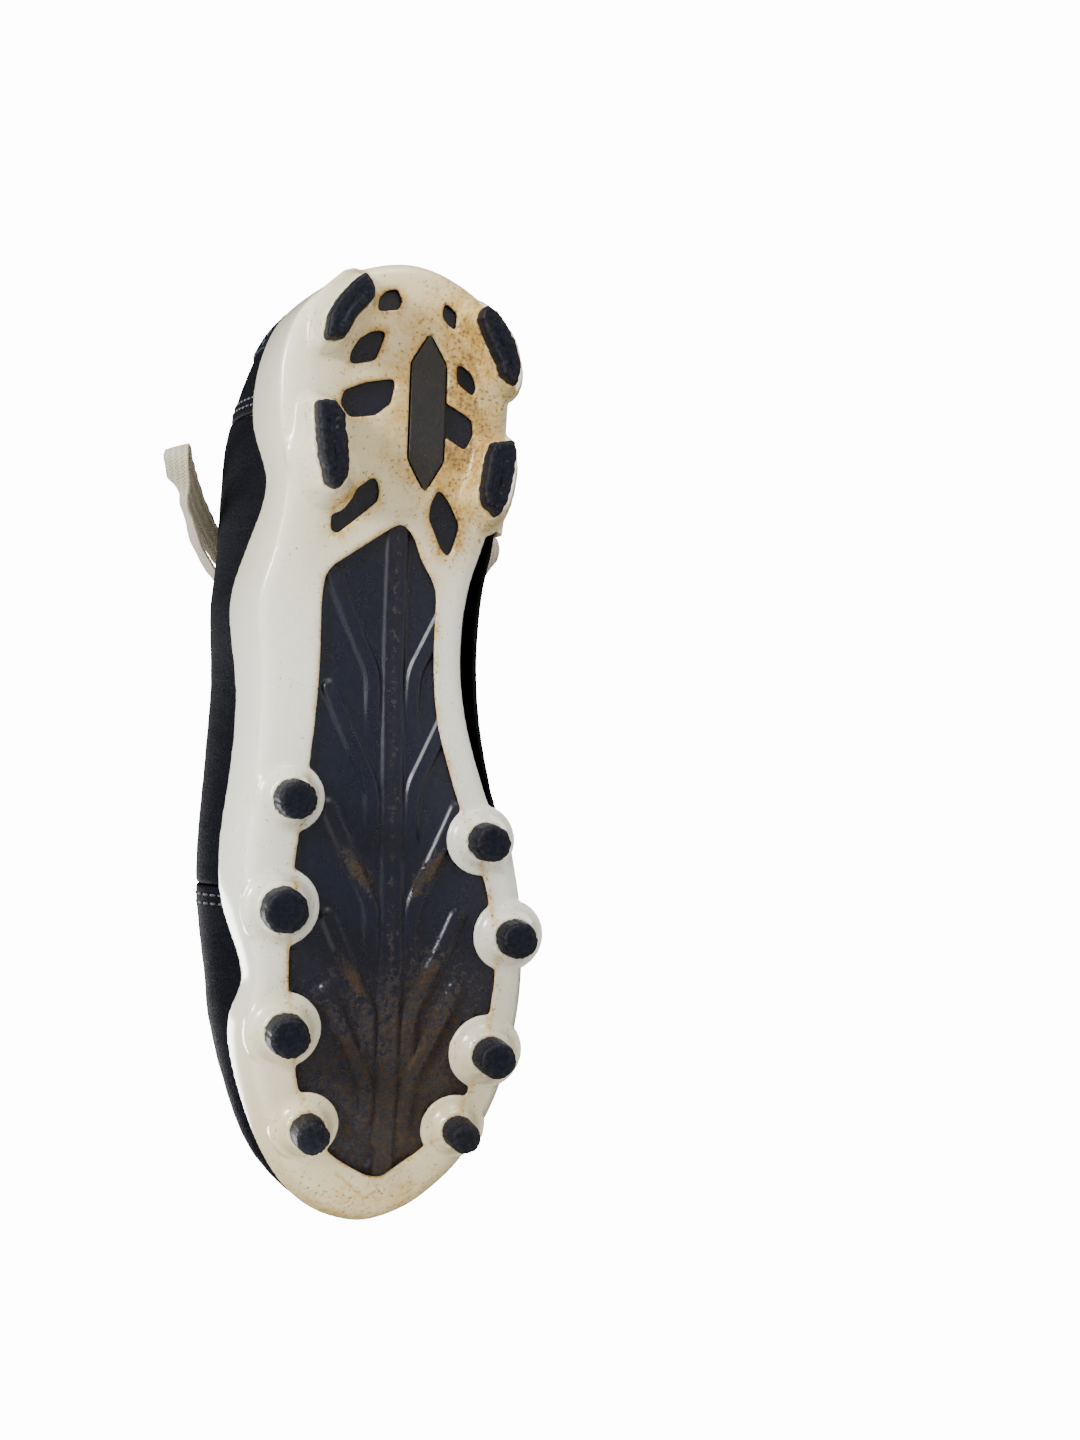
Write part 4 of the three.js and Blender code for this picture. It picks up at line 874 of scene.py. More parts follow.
print("outsole frame")
heelWindows = [
    [[0.031, 0.075], [0.029, 0.02], [0.037, -0.005], [0.046, 0.01], [0.05, 0.15], [0.038, 0.12]],
    [[0.073, 0.1], [0.101, 0.165], [0.107, 0.32], [0.098, 0.31], [0.084, 0.26], [0.076, 0.185]],
    [[0.038, -0.33], [0.047, -0.395], [0.064, -0.45], [0.059, -0.37], [0.051, -0.32]],
    [[0.122, 0.025], [0.144, 0.05], [0.157, 0.15], [0.161, 0.315], [0.15, 0.37], [0.138, 0.35],
     [0.129, 0.22]],
    [[0.1, -0.43], [0.109, -0.515], [0.119, -0.54], [0.128, -0.535], [0.117, -0.435]],
    [[0.14, -0.307], [0.147, -0.41], [0.157, -0.524], [0.17, -0.536], [0.185, -0.49], [0.174, -0.365],
     [0.162, -0.31]],
    [[0.224, 0.133], [0.234, 0.107], [0.245, 0.11], [0.28, 0.371], [0.278, 0.4], [0.258, 0.395]],
    [[0.233, -0.326], [0.242, -0.381], [0.267, -0.469], [0.297, -0.41], [0.286, -0.357],
     [0.261, -0.281], [0.246, -0.288]],
]
middleWindow = [
    [0.267, -0.08], [0.277, 0.03], [0.294, 0.186], [0.316, 0.395], [0.33, 0.438], [0.353, 0.448],
    [0.415, 0.44], [0.471, 0.462], [0.526, 0.502], [0.589, 0.555], [0.628, 0.588], [0.7, 0.602],
    [0.757, 0.598], [0.827, 0.531], [0.858, 0.488], [0.923, 0.274], [0.951, -0.019], [0.953, -0.133],
    [0.94, -0.245], [0.92, -0.431], [0.873, -0.669], [0.857, -0.71], [0.786, -0.819], [0.731, -0.852],
    [0.665, -0.79], [0.639, -0.75], [0.565, -0.567], [0.512, -0.455], [0.475, -0.388], [0.432, -0.357],
    [0.39, -0.348], [0.342, -0.35], [0.329, -0.331], [0.303, -0.224], [0.28, -0.167],
]
badgeOutline = [
    [0.235, -0.221], [0.202, -0.088], [0.101, -0.088], [0.068, -0.221], [0.101, -0.354], [0.202, -0.354],
]
frameSettings = {
    "voxel": 0.00075, "quickVoxel": 0.001, "around": 760, "smoothing": 6, "rimHeight": 0.9, "edgeRound": 4.0,
    "edgeRise": 1.2, "wallGap": 0.5, "wallThick": 1.6, "rollOut": 0.62, "rollUp": 0.35,
}


def prismPoints(outline, low, high):
    count = len(outline)
    lows = np.column_stack([outline, np.full(count, low)])
    highs = np.column_stack([outline, np.full(count, high)])
    return np.concatenate([lows, highs]), tubeFaces(2, count)


def looseMesh(name, points, faces):
    data = bpy.data.meshes.new(name)
    data.from_pydata(rowPoints(points).tolist(), [], [list(map(int, f)) for f in faces])
    obj = bpy.data.objects.new(name, data)
    bpy.context.scene.collection.objects.link(obj)
    weld(obj)
    return obj


# Inset of the sole's edge from the outline, and how far it is from there to the spine.
def rimOf(s):
    inset = np.maximum(0, -flare(s)[..., 0] - footInset)
    edge = edgeShares(s) * [soleLength, halfWidth]
    spine = np.stack([spineShare(np.abs(s))[..., 0] * soleLength, np.zeros_like(s)], -1)
    return inset, np.linalg.norm(spine - edge, axis=1) - inset


# The slab is a fine grid near its edge. Further in it goes by shares of the way to the spine.
around = np.linspace(-1, 1, frameSettings["around"], endpoint=False)
rimInset, whole = rimOf(around)
edgeRound = frameSettings["edgeRound"]
shares = np.array([0.04, 0.1, 0.2, 0.32, 0.46, 0.62, 0.8, 0.96])
insets = np.concatenate([np.linspace(0, edgeRound, 9), edgeRound + shares * 100])
grids = []
for top in (False, True):
    rows = []
    for k, inset in enumerate(insets):
        d = np.where(inset <= edgeRound, inset, edgeRound + (whole - edgeRound) * (inset - edgeRound) / 100)
        plan = insetPoint(around, rimInset + d)
        low = underside(plan[:, 0])
        if top:
            z = low + frameThick + frameSettings["rimHeight"] * (1 - smoothstep(d, 1.0, 1.6))
        else:
            z = low + frameSettings["edgeRise"] * np.maximum(0, 1 - d / edgeRound)**2.6
        rows.append(np.column_stack([plan, z]))
    grids.append(np.array(rows))
lowGrid, highGrid = grids
count, deep = frameSettings["around"], len(insets)
points = np.concatenate([lowGrid.reshape(-1, 3), highGrid.reshape(-1, 3)])
i = np.arange(deep - 1)[:, None] * count
j = np.arange(count)[None]
after = (j + 1) % count
lowFaces = np.stack([i + j, i + after, i + count + after, i + count + j], -1).reshape(-1, 4)
highFaces = lowFaces[:, ::-1] + deep * count
rim = np.stack([j[0], j[0] + deep * count, after[0] + deep * count, after[0]], -1)
slabFaces = np.concatenate([lowFaces, highFaces, rim]).tolist()
for first in ((deep - 1) * count, (2 * deep - 1) * count):
    for k in range(count // 2):
        corners = dict.fromkeys([k, k + 1, count - k - 1, (count - k) % count])
        slabFaces.append([first + corner for corner in corners])
slab = looseMesh("outsole_frame_moulded", points, slabFaces)

windowOutlines = [grown(softened(clipped(inPlan(pairs), 0.05), 1), 0.65) for pairs in heelWindows]
windowOutlines.append(softened(clipped(inPlan(badgeOutline), 0.04), 1))
middleOutline = softened(clipped(inPlan(middleWindow), 0.16), 2)
for outline in windowOutlines + [middleOutline]:
    outline = resampled(outline, 160 if len(outline) < 200 else 400, closed=True)
    cutter = looseMesh("window_cutter", *prismPoints(outline, 4.0, 32.0))
    applyModifier(slab, "BOOLEAN", object=cutter, operation="DIFFERENCE", solver="MANIFOLD")
    bpy.data.objects.remove(cutter)

# Pedestals: how far down each ring is, and what share of the spread it still has.
roundSlope = ((0.1, 0.8), (0.25, 0.62), (0.45, 0.45), (0.65, 0.31), (0.85, 0.2))
bladeSlope = ((0.06, 0.93), (0.3, 0.7), (0.6, 0.42), (0.9, 0.14))
parts = [slab]
for s in studs:
    outline, root, rise = s["outline"], s["root"], s["rise"]
    spread = np.broadcast_to(s["spread"], len(outline))
    torn = ripple(len(outline), 0.22, [5, 9, 14, 19, 26])
    lip = ripple(len(outline), 0.3, [4, 8, 13, 21])
    rings = []
    for beyond, lift in ((0.6, frameThick * 0.9), (0.5, -0.1)):
        plan = grown(outline, spread + beyond)
        rings.append(np.column_stack([plan, underside(plan[:, 0]) + lift]))
    for down, share in roundSlope if s["round"] else bladeSlope:
        plan = grown(outline, 0.55 + (spread - 0.55) * share)
        base = underside(plan[:, 0]) * (1 - down) + root * down
        rings.append(np.column_stack([plan, base - rise * down]))
    rings.append(np.column_stack([grown(outline, 0.75 + torn), root - rise - 0.1 + lip]))
    rings.append(np.column_stack([grown(outline, -0.4), np.full(len(outline), root - rise + 0.2)]))
    parts.append(looseMesh("pedestal", np.concatenate(rings), tubeFaces(len(rings), len(outline))))

# Side walls: one from the medial heel round to the toe, and one along the medial forefoot.
rowsV = np.linspace(0, 1, 9)
up = rowsV[:, None, None]
rolled = np.where(rowsV > 0.8, 0.35, 0.0)[:, None]
standOff = frameSettings["wallGap"] + frameSettings["wallThick"]
for first, last in ((-0.275, 1.0), (-1.004, -0.575)):
    columns = np.linspace(first, last, int(abs(last - first) * 420))
    if last == 1.0:
        ends = smoothstep(columns, first, first + 0.02)
    else:
        ends = 1 - smoothstep(columns, last - 0.02, last)
    top = 0.045 + (wallTop(columns)[..., 0] - 0.045) * ends
    v = rowsV[:, None] * top[None]
    s = np.broadcast_to(columns[None], v.shape)
    inner = skin(s, v, frameSettings["wallGap"] + rolled)
    rimLine = skin(s[-1], v[-1], standOff - rolled[-1])
    # Outside, the wall rolls out of the plate's edge in one curve up to its rim.
    footIn = -flare(columns)[..., 0]
    foot = insetPoint(columns, np.minimum(np.maximum(0, footIn - footInset) + 0.4, footIn - standOff))
    foot = np.column_stack([foot, underside(foot[:, 0]) + frameSettings["edgeRise"] - 0.1])
    leaning = [frameSettings["rollOut"], frameSettings["rollOut"], frameSettings["rollUp"]]
    bend = foot + (rimLine - foot) * leaning
    outer = (1 - up)**2 * foot + 2 * up * (1 - up) * bend + up**2 * rimLine
    parts.append(looseMesh("side_wall", *closedSheet(outer, inner)))

bpy.ops.object.select_all(action="DESELECT")
for part in parts:
    part.select_set(True)
bpy.context.view_layer.objects.active = slab
bpy.ops.object.join()
slab.data.remesh_voxel_size = frameSettings["voxel"]
activate(slab)
bpy.ops.object.voxel_remesh()
applyModifier(slab, "SMOOTH", factor=0.5, iterations=frameSettings["smoothing"])
finishPiece(slab, framePaint, replaces=["outsole_frame"])
print("  frame faces", len(slab.data.polygons))

# Where the frame is stained, where shade is painted into the creases at the stud roots and pedestals, and
# where it has yellowed.
spots = vertexPoints(slab)
plan = spots[:, :2]
soilAndCreaseShade = np.zeros(len(plan))
for outline in windowOutlines:
    soilAndCreaseShade = np.maximum(soilAndCreaseShade, 0.72 * np.exp(-distanceTo(plan, outline, True) / 3.4))
soilAndCreaseShade = np.maximum(soilAndCreaseShade, 0.62 * np.exp(-distanceTo(plan, middleOutline, True) / 2.0))
# Painted shade: stain colour is laid in the crease round each stud root, where shade falls. The wider tint
# over each pedestal is partly real brown staining and partly painted shade at its base.
for s in studs:
    away = distanceTo(plan, s["outline"], True)
    low = np.clip((s["root"] - 1.0 - spots[:, 2]) / s["rise"], 0, 1)
    soilAndCreaseShade = np.maximum(soilAndCreaseShade, 0.7 * low**2 * np.exp(-away / 1.8))
    soilAndCreaseShade = np.maximum(soilAndCreaseShade, 0.26 * np.exp(-np.maximum(away - 4, 0) / 2.5) * (spots[:, 2] < s["root"] + 1.2))
heelSoil = np.exp(-((plan[:, 0] - 40) / 33)**2 - ((plan[:, 1] + 11) / 18)**2)
toeSoil = smoothstep(plan[:, 0], 245, 272)
soilAndCreaseShade = np.maximum(soilAndCreaseShade, 0.88 * heelSoil)
soilAndCreaseShade = np.maximum(soilAndCreaseShade, 0.55 * toeSoil)
toeScuff = [[262, 8], [270.5, -1], [262, -11]]
soilAndCreaseShade = np.maximum(soilAndCreaseShade, 0.85 * np.exp(-distanceTo(plan, toeScuff) / 1.3))
soilAndCreaseShade = np.clip(soilAndCreaseShade + 0.36 * smoothstep(-plan[:, 1], 2, 24) * (1 - smoothstep(plan[:, 0], 70, 95)), 0, 1)
outer = smoothstep(spots[:, 2] - underside(plan[:, 0]), 2.5, 8)
setAttribute(slab, "soilAndCreaseShade", np.clip(soilAndCreaseShade * (1 - 0.5 * outer) + 0.06, 0, 1))
yellow = np.maximum(1 - smoothstep(plan[:, 0], 45, 120), smoothstep(plan[:, 0], 175, 262)) * 0.85 + 0.1
yellow = yellow - 0.5 * smoothstep(plan[:, 1], 8, 26) * (1 - smoothstep(plan[:, 0], 40, 90))
setAttribute(slab, "yellow", np.clip(yellow, 0, 1))

print("base plate")
plateSettings = {
    "step": 0.75, "across": 110, "low": 2.05, "thick": 1.8, "inset": 4.2, "spineHigh": 1.0, "bandWide": 2.5,
    "bandHigh": 1.15, "ribFeet": (119, 152, 186, 217, 238), "muddyFeet": (186, 217, 238),
}
ring = np.linspace(-1, 1, 2000, endpoint=False)
outline = insetPoint(ring, rimOf(ring)[0] + plateSettings["inset"])
xs = np.arange(outline[:, 0].min() + 0.4, outline[:, 0].max() - 0.3, plateSettings["step"])


# One edge of the plate as a height in plan at each of the stations.
def edgeAt(part):
    return np.interp(xs, *part[np.argsort(part[:, 0])].T)


yHigh, yLow = edgeAt(outline[outline[:, 1] > -2]), edgeAt(outline[outline[:, 1] < -2])
share = np.linspace(0, 1, plateSettings["across"])
gridX = np.broadcast_to(xs[:, None], (len(xs), len(share)))
gridY = yLow[:, None] + (yHigh - yLow)[:, None] * share[None]
flatPlan = np.stack([gridX, gridY], -1).reshape(-1, 2)
spineLine = inPlan([[0.275, -0.06], [0.6, -0.09], [0.95, -0.13]])


def spineAt(x):
    return np.interp(x, spineLine[:, 0], spineLine[:, 1])


relief = plateSettings["spineHigh"] * (1 - smoothstep(distanceTo(flatPlan, spineLine), 2.5, 3.6))
# Each rib runs in from the side, bends and goes on along the spine until it fades.
ribCourse = np.array([[-30, 19], [-22, 15.5], [-9, 9.5], [-2.5, 6.6], [4, 5.9], [20, 5.8]])
bandWide = plateSettings["bandWide"]
for foot in plateSettings["ribFeet"]:
    for way in (1, -1):
        line = splineThrough(ribCourse * [1, way] + [foot, spineAt(foot)], 24)
        away = distanceTo(flatPlan, line)
        band = plateSettings["bandHigh"] * (1 - smoothstep(away, bandWide - 0.9, bandWide + 0.1))
        relief = np.maximum(relief, band * (1 - smoothstep(flatPlan[:, 0], foot + 2, foot + 20)))
mud = 0.52 * smoothstep(flatPlan[:, 0], 170, 225)
mud = np.maximum(mud, 0.42 * np.exp(-distanceTo(flatPlan, spineLine) / 3.0))
mud = mud + 0.16 * np.exp(-((flatPlan[:, 1] + 14) / 13)**2) * smoothstep(flatPlan[:, 0], 175, 205)
for foot in plateSettings["muddyFeet"]:
    for way in (1, -1):
        clump = np.array([foot - 12, -4.5 + way * 10.5])
        away = (flatPlan - clump) @ np.array([[0.8, 0.6 * way], [-0.6 * way, 0.8]])
        mud = np.maximum(mud, 0.8 * np.exp(-(away[:, 0] / 11)**2 - (away[:, 1] / 3.2)**2))
border = np.exp(-distanceTo(flatPlan, middleOutline, True) / 2.5) * smoothstep(flatPlan[:, 0], 120, 200)
mud = np.maximum(mud, 0.55 * border)
low = underside(flatPlan[:, 0]) + plateSettings["low"] - relief
rowsX, columnsY = gridX.shape
points = np.column_stack([flatPlan, low])
topZ = underside(xs) + plateSettings["low"] + plateSettings["thick"]
high, highFar = np.column_stack([xs, gridY[:, 0], topZ]), np.column_stack([xs, gridY[:, -1], topZ])
index = np.arange(rowsX * columnsY).reshape(rowsX, columnsY)
faces = np.stack([index[:-1, :-1], index[:-1, 1:], index[1:, 1:], index[1:, :-1]], -1).reshape(-1, 4).tolist()
topA = np.arange(rowsX) + rowsX * columnsY
topB = topA + rowsX
for k in range(rowsX - 1):
    faces.append([topA[k], topA[k + 1], topB[k + 1], topB[k]])
    faces.append([index[k, 0], index[k + 1, 0], topA[k + 1], topA[k]])
    faces.append([index[k, -1], topB[k], topB[k + 1], index[k + 1, -1]])
faces.append(list(index[0]) + [topB[0], topA[0]])
faces.append(list(index[-1][::-1]) + [topA[-1], topB[-1]])
plate = newPiece("base_plate_ribbed", np.concatenate([points, high, highFar]), faces, basePaint,
                 replaces=["base_plate"])
setAttribute(plate, "mud", np.concatenate([mud, np.zeros(2 * rowsX)]))
activate(plate)
bpy.ops.object.mode_set(mode="EDIT")
bpy.ops.mesh.select_all(action="SELECT")
bpy.ops.mesh.normals_make_consistent(inside=False)
bpy.ops.object.mode_set(mode="OBJECT")

print("heel badge")
badgeSettings = {"gap": 0.45, "proud": 0.25, "deep": 0.8, "bevel": 0.00045}
low = float(underside(inPlan(badgeOutline)[0, 0]))
points, faces = prismPoints(grown(inPlan(badgeOutline), -badgeSettings["gap"]), low - badgeSettings["proud"],
                            low + badgeSettings["deep"])
badge = newPiece("heel_badge_plain", points, faces, badgePaint, replaces=["heel_badge"])
weld(badge, 0.000001)
applyModifier(badge, "BEVEL", width=badgeSettings["bevel"], segments=4, limit_method="ANGLE")
badge.data.shade_flat()


# A panel of the upper with rolled edges. Steps is how finely it is cut round the shoe and upwards.
# Ends says which of its two ends are rolled.
def panel(name, material, first, last, low, high, inner, outer, steps=(150, 60), roll=0.7, hood=False,
          replaces=(), rough=0.0, ends=(True, True)):
    perS = 300.0
    drops = np.array([0.0, 0.12, 0.35]) * roll
    middleColumns = np.linspace(first + roll / perS, last - roll / perS, steps[0])
    before = first + drops / perS if ends[0] else []
    after = last - drops[::-1] / perS if ends[1] else []
    columns = np.concatenate([before, middleColumns, after])
    if not ends[0]:
        columns[0] = first
    if not ends[1]:
        columns[-1] = last
    lows, highs = low(columns), high(columns)
    sample = formPoint(columns[None], lows + (highs - lows) * np.linspace(0, 1, 24)[:, None])
    tall = np.maximum(np.sum(np.linalg.norm(np.diff(sample, axis=0), axis=-1), axis=0), 2.5 * roll)
    rows = np.concatenate([drops, np.linspace(roll, 1000 - roll, steps[1]), 1000 - drops[::-1]])[:, None]
    middle = (rows - roll) / (1000 - 2 * roll)
    share = np.where(rows <= roll, rows / tall, roll / tall + (1 - 2 * roll / tall) * middle)
    share = np.where(rows >= 1000 - roll, 1 - (1000 - rows) / tall, share)
    v = lows + (highs - lows) * share
    s = np.broadcast_to(columns[None], v.shape)
    fromEdge = np.minimum(share, 1 - share) * tall
    if hood:
        fromEdge = share * tall
    if ends[0]:
        fromEdge = np.minimum(fromEdge, (s - first) * perS)
    if ends[1]:
        fromEdge = np.minimum(fromEdge, (last - s) * perS)
    reach = np.clip(1 - fromEdge / roll, 0, 1)
    drop = roll * (1 - np.sqrt(1 - reach**2))
    outs, ins = outer(s, v), inner(s, v)
    drop = np.minimum(drop, 0.8 * (outs - ins))
    if rough:
        wave = np.sin(s * 210 + 5 * np.sin(v * 9)) * np.sin(v * 31 + 3 * np.sin(s * 40))
        outs = outs + rough * wave * (1 - reach)
    if hood:
        v = np.concatenate([v, 2 - v[-2::-1]])
        s = np.concatenate([s, s[-2::-1]])
        outs, ins, drop = [np.concatenate([a, a[-2::-1]]) for a in (outs, ins, drop)]
    points, faces = closedSheet(skin(s, v, outs - drop), skin(s, v, ins))
    obj = newPiece(name, points, faces, material, replaces=replaces)
    weld(obj, 0.00003)
    return obj


def fixed(value):
    return lambda s, v=None: np.full(np.shape(s), float(value))


def quarterTop(s):
    return np.minimum(topEdge(s), 0.995)


eyeletS = np.linspace(0.605, 0.427, 6)


def eyeletV(s):
    return np.minimum(topEdge(s), 0.9) - 0.085


# Holes for the lace through a panel of one side.
def pierce(obj, side, radius=3.0):
    points, faces, start = [], [], 0
    turn = np.linspace(0, 2 * math.pi, 28, endpoint=False)
    for s in eyeletS:
        at, normal = skin(side * s, eyeletV(s), 0.0), formNormal(side * s, eyeletV(s))
        x = unit(np.cross(normal, [0, 0, 1.0]))
        y = np.cross(normal, x)
        ringOf = at + radius * (np.cos(turn)[:, None] * x + np.sin(turn)[:, None] * y)
        points.append(np.concatenate([ringOf - 7 * normal, ringOf + 7 * normal]))
        faces += [[k + start for k in f] for f in tubeFaces(2, len(turn))]
        start += 2 * len(turn)
    drill = looseMesh("drill", np.concatenate(points), faces)
    applyModifier(obj, "BOOLEAN", object=drill, operation="DIFFERENCE", solver="MANIFOLD")
    bpy.data.objects.remove(drill)


print("upper")
vampBack, seam, heelPanelEnd = throatFront + 0.008, 0.0012, 0.2
inside, outside = fixed(-upperThick), fixed(0)
rim = fixed(0.003)
panel("vamp_skin", skinPaint, vampBack, 1.0, rim, fixed(1.0), inside, outside, (150, 70), 0.8, True,
      ["vamp"], 0.06, (True, False))
for side, way in (("lateral", 1), ("medial", -1)):
    span = sorted([way * (heelPanelEnd + seam), way * (vampBack - seam)])
    quarter = panel("quarter_" + side + "_skin", skinPaint, span[0], span[1], rim, quarterTop, inside,
                    outside, (190, 80), 0.8, False, ["quarter_" + side], 0.05)
    pierce(quarter, way)
panel("heel_panel_skin", skinPaint, -heelPanelEnd + seam, heelPanelEnd - seam, rim, topEdge, inside, outside,
      (150, 80), 0.8, False, ["heel_panel"], 0.04)


def stayTop(s):
    return np.minimum(topEdge(s), 0.985) - 0.006


def stayFoot(s):
    return np.minimum(stayTop(s), 0.96) - 0.15


for side, way in (("lateral", 1), ("medial", -1)):
    span = sorted([way * 0.4, way * 0.638])
    stay = panel("eyestay_" + side + "_skin", overlayPaint, span[0], span[1], stayFoot, stayTop, fixed(0.02),
                 fixed(0.75), (110, 26), 0.55, False, ["eyestay_" + side])
    pierce(stay, way)


def overlayTop(s):
    return topEdge(s) - 0.06 - 0.6 * np.abs(s)


panel("heel_overlay_skin", overlayPaint, -0.13, 0.13, fixed(0.19), overlayTop, fixed(0.02), fixed(0.85),
      (90, 50), 0.6, False, ["heel_overlay"])

print("linings")
liningOuter = -(upperThick + seamGap + stiffenerThick + seamGap)
liningInner = liningOuter - liningThick
collarSettings = {"end": 0.41, "foam": 4.0, "cloth": 0.25, "crest": 0.022, "rise": 0.5, "puff": 1.9,
                  "tuck": 1.6, "columns": 260, "fill": 0.65}
collarEnd = collarSettings["end"]


def padDepth(s, v):
    near = 1 - smoothstep(np.abs(s), 0.33, 0.4)
    puff = smoothstep(v / topEdge(s), 0.45, 0.72)
    crease = 1 - 0.16 * np.exp(-((v / topEdge(s) - 0.8) / 0.02)**2)
    return collarSettings["foam"] * near * puff * crease


def liningTop(s):
    return np.minimum(topEdge(s), 0.98) - 0.012


panel("vamp_lining_cloth", liningPaint, vampBack, 1.0, fixed(0.07), fixed(1.0), fixed(liningInner),
      fixed(liningOuter), (90, 40), 0.5, True, ["vamp_lining"], 0.0, (True, False))
for side, way in (("lateral", 1), ("medial", -1)):
    span = sorted([way * (collarEnd + 2 * seam), way * (vampBack - 2 * seam)])
    cloth = panel("quarter_lining_" + side + "_cloth", liningPaint, span[0], span[1], fixed(0.07), liningTop,
                  fixed(liningInner), fixed(liningOuter), (90, 40), 0.5, False,
                  ["quarter_lining_" + side])
    pierce(cloth, way)

# The collar: lining, foam and a rolled top edge that turns over onto the skin.
columns = np.linspace(-collarEnd, collarEnd, collarSettings["columns"])
crest = topEdge(columns) - collarSettings["crest"]
rollRows = np.linspace(0, math.pi, 12)
rings = []
for v in np.linspace(0.07, 1, 46)[:, None] * crest:
    rings.append(skin(columns, v, liningInner - padDepth(columns, v) - collarSettings["cloth"]))
near = 1 - smoothstep(np.abs(columns), 0.36, collarEnd)
innerEdge = liningInner - padDepth(columns, crest) - collarSettings["cloth"]
outerEdge = -upperThick - 0.15
for turn in rollRows[1:-1]:
    mid, half = (innerEdge + outerEdge) / 2, (outerEdge - innerEdge) / 2
    lifted = skin(columns, crest, mid - half * math.cos(turn))
    lifted[:, 2] += (collarSettings["rise"] + collarSettings["puff"] * near) * math.sin(turn)
    rings.append(lifted)
for v in np.linspace(1, 0.55, 14)[:, None] * crest:
    tuck = collarSettings["tuck"] * (v < 0.62 * crest)
    rings.append(skin(columns, v, np.full(len(columns), outerEdge) - tuck))
for v in np.linspace(0.54, 0.07, 16)[:, None] * crest:
    rings.append(skin(columns, v, np.full(len(columns), liningOuter)))
grid = np.array(rings)
ids = np.arange(grid.shape[0] * grid.shape[1]).reshape(grid.shape[:2])
nextRow = np.roll(ids, -1, axis=0)
faces = np.stack([ids[:, :-1], nextRow[:, :-1], nextRow[:, 1:], ids[:, 1:]], -1).reshape(-1, 4).tolist()
faces += [ids[:, 0].tolist(), ids[::-1, -1].tolist()]
collar = newPiece("collar_padded", grid.reshape(-1, 3), faces, collarPaint,
                  replaces=["collar_lining", "collar_padding"])
weld(collar, 0.00001)

# Sockliner: dished foam footbed with a soft border.
linerSettings = {"around": 360, "borderEnd": 15, "fill": 0.4}
around = np.linspace(-1, 1, linerSettings["around"], endpoint=False)
rimIn, whole = rimOf(around)
rows = []
linerLow = frameThick + seamGap + baseThick + seamGap + boardThick + seamGap
# How far in from the sole's edge each ring of the border is, and its height.
rimProfile = (
    (7.9, 0.15), (7.8, 0.6), (7.8, 4.6), (7.95, 5.2), (8.4, 5.5), (9.0, 5.25), (10.0, 4.75), (12, 4.35),
    (linerSettings["borderEnd"], 4.15),
)
for d, rise in rimProfile:
    plan = insetPoint(around, rimIn + np.minimum(d, whole))
    rows.append(np.column_stack([plan, underside(plan[:, 0]) + linerLow + rise]))
for share in (0.55, 0.7, 0.85, 0.96):
    d = np.maximum(linerSettings["borderEnd"] + 0.2, whole * share)
    plan = insetPoint(around, rimIn + np.minimum(d, whole * 0.97))
    rows.append(np.column_stack([plan, underside(plan[:, 0]) + linerLow + linerThick]))
footbed = newPiece("sockliner_foam", np.concatenate(rows), tubeFaces(len(rows), len(around)), sockPaint,
                   replaces=["sockliner"])
weld(footbed, 0.00001)

print("tongue")
laceRadius = 1.2
laceUnder = liningInner - 0.5 - laceRadius
tongueSettings = {"top": 0.352, "front": 0.665, "under": 0.6, "cloth": 1.3, "pad": 2.1, "quilts": 62,
                  "quiltOut": 0.45, "quiltIn": 0.35, "edgeDrop": 1.2, "fill": 0.5}
tongueTop, tongueFront = tongueSettings["top"], tongueSettings["front"]
tongueOuter = laceUnder - laceRadius - tongueSettings["under"]
edgeColumns = tongueTop + np.array([0, 0.0006, 0.0016, 0.003, 0.005, 0.008])
columns = np.concatenate([edgeColumns, np.linspace(0.364, tongueFront, 130)])
low = 0.68 + 0.16 * (columns - tongueTop) / (tongueFront - tongueTop)
rowsV = np.concatenate([[0, 0.006, 0.02, 0.045, 0.08], np.linspace(0.12, 1, 34)])
v = low + (1 - low) * rowsV[:, None]
v = np.concatenate([v, 2 - v[-2::-1]])
s = np.broadcast_to(columns[None], v.shape)
side = np.concatenate([rowsV, rowsV[-2::-1]])[:, None]
soft = np.minimum(smoothstep(side, 0, 0.16), smoothstep(s, tongueTop, tongueTop + 0.012))**0.5
padTop = 1 - smoothstep(s, 0.5, 0.6)
quilt = np.abs(np.sin((s - tongueTop) * tongueSettings["quilts"]))**0.35
thick = tongueSettings["cloth"] + tongueSettings["pad"] * (0.35 + 0.65 * padTop)
thick = thick * (0.28 + 0.72 * soft)
outs = tongueOuter - (1 - soft) * tongueSettings["edgeDrop"]
outs = outs - tongueSettings["quiltOut"] * (1 - quilt) * padTop
ins = tongueOuter - 0.5 - thick + tongueSettings["quiltIn"] * (1 - quilt) * padTop
points, faces = closedSheet(skin(s, v, outs), skin(s, v, ins))
tongue = newPiece("tongue_padded", points, faces, tonguePaint, body="tongue",
                  replaces=["tongue"])
weld(tongue, 0.00003)

print("lacing")
laceOver = seamGap + overlayThick + 0.5 + laceRadius
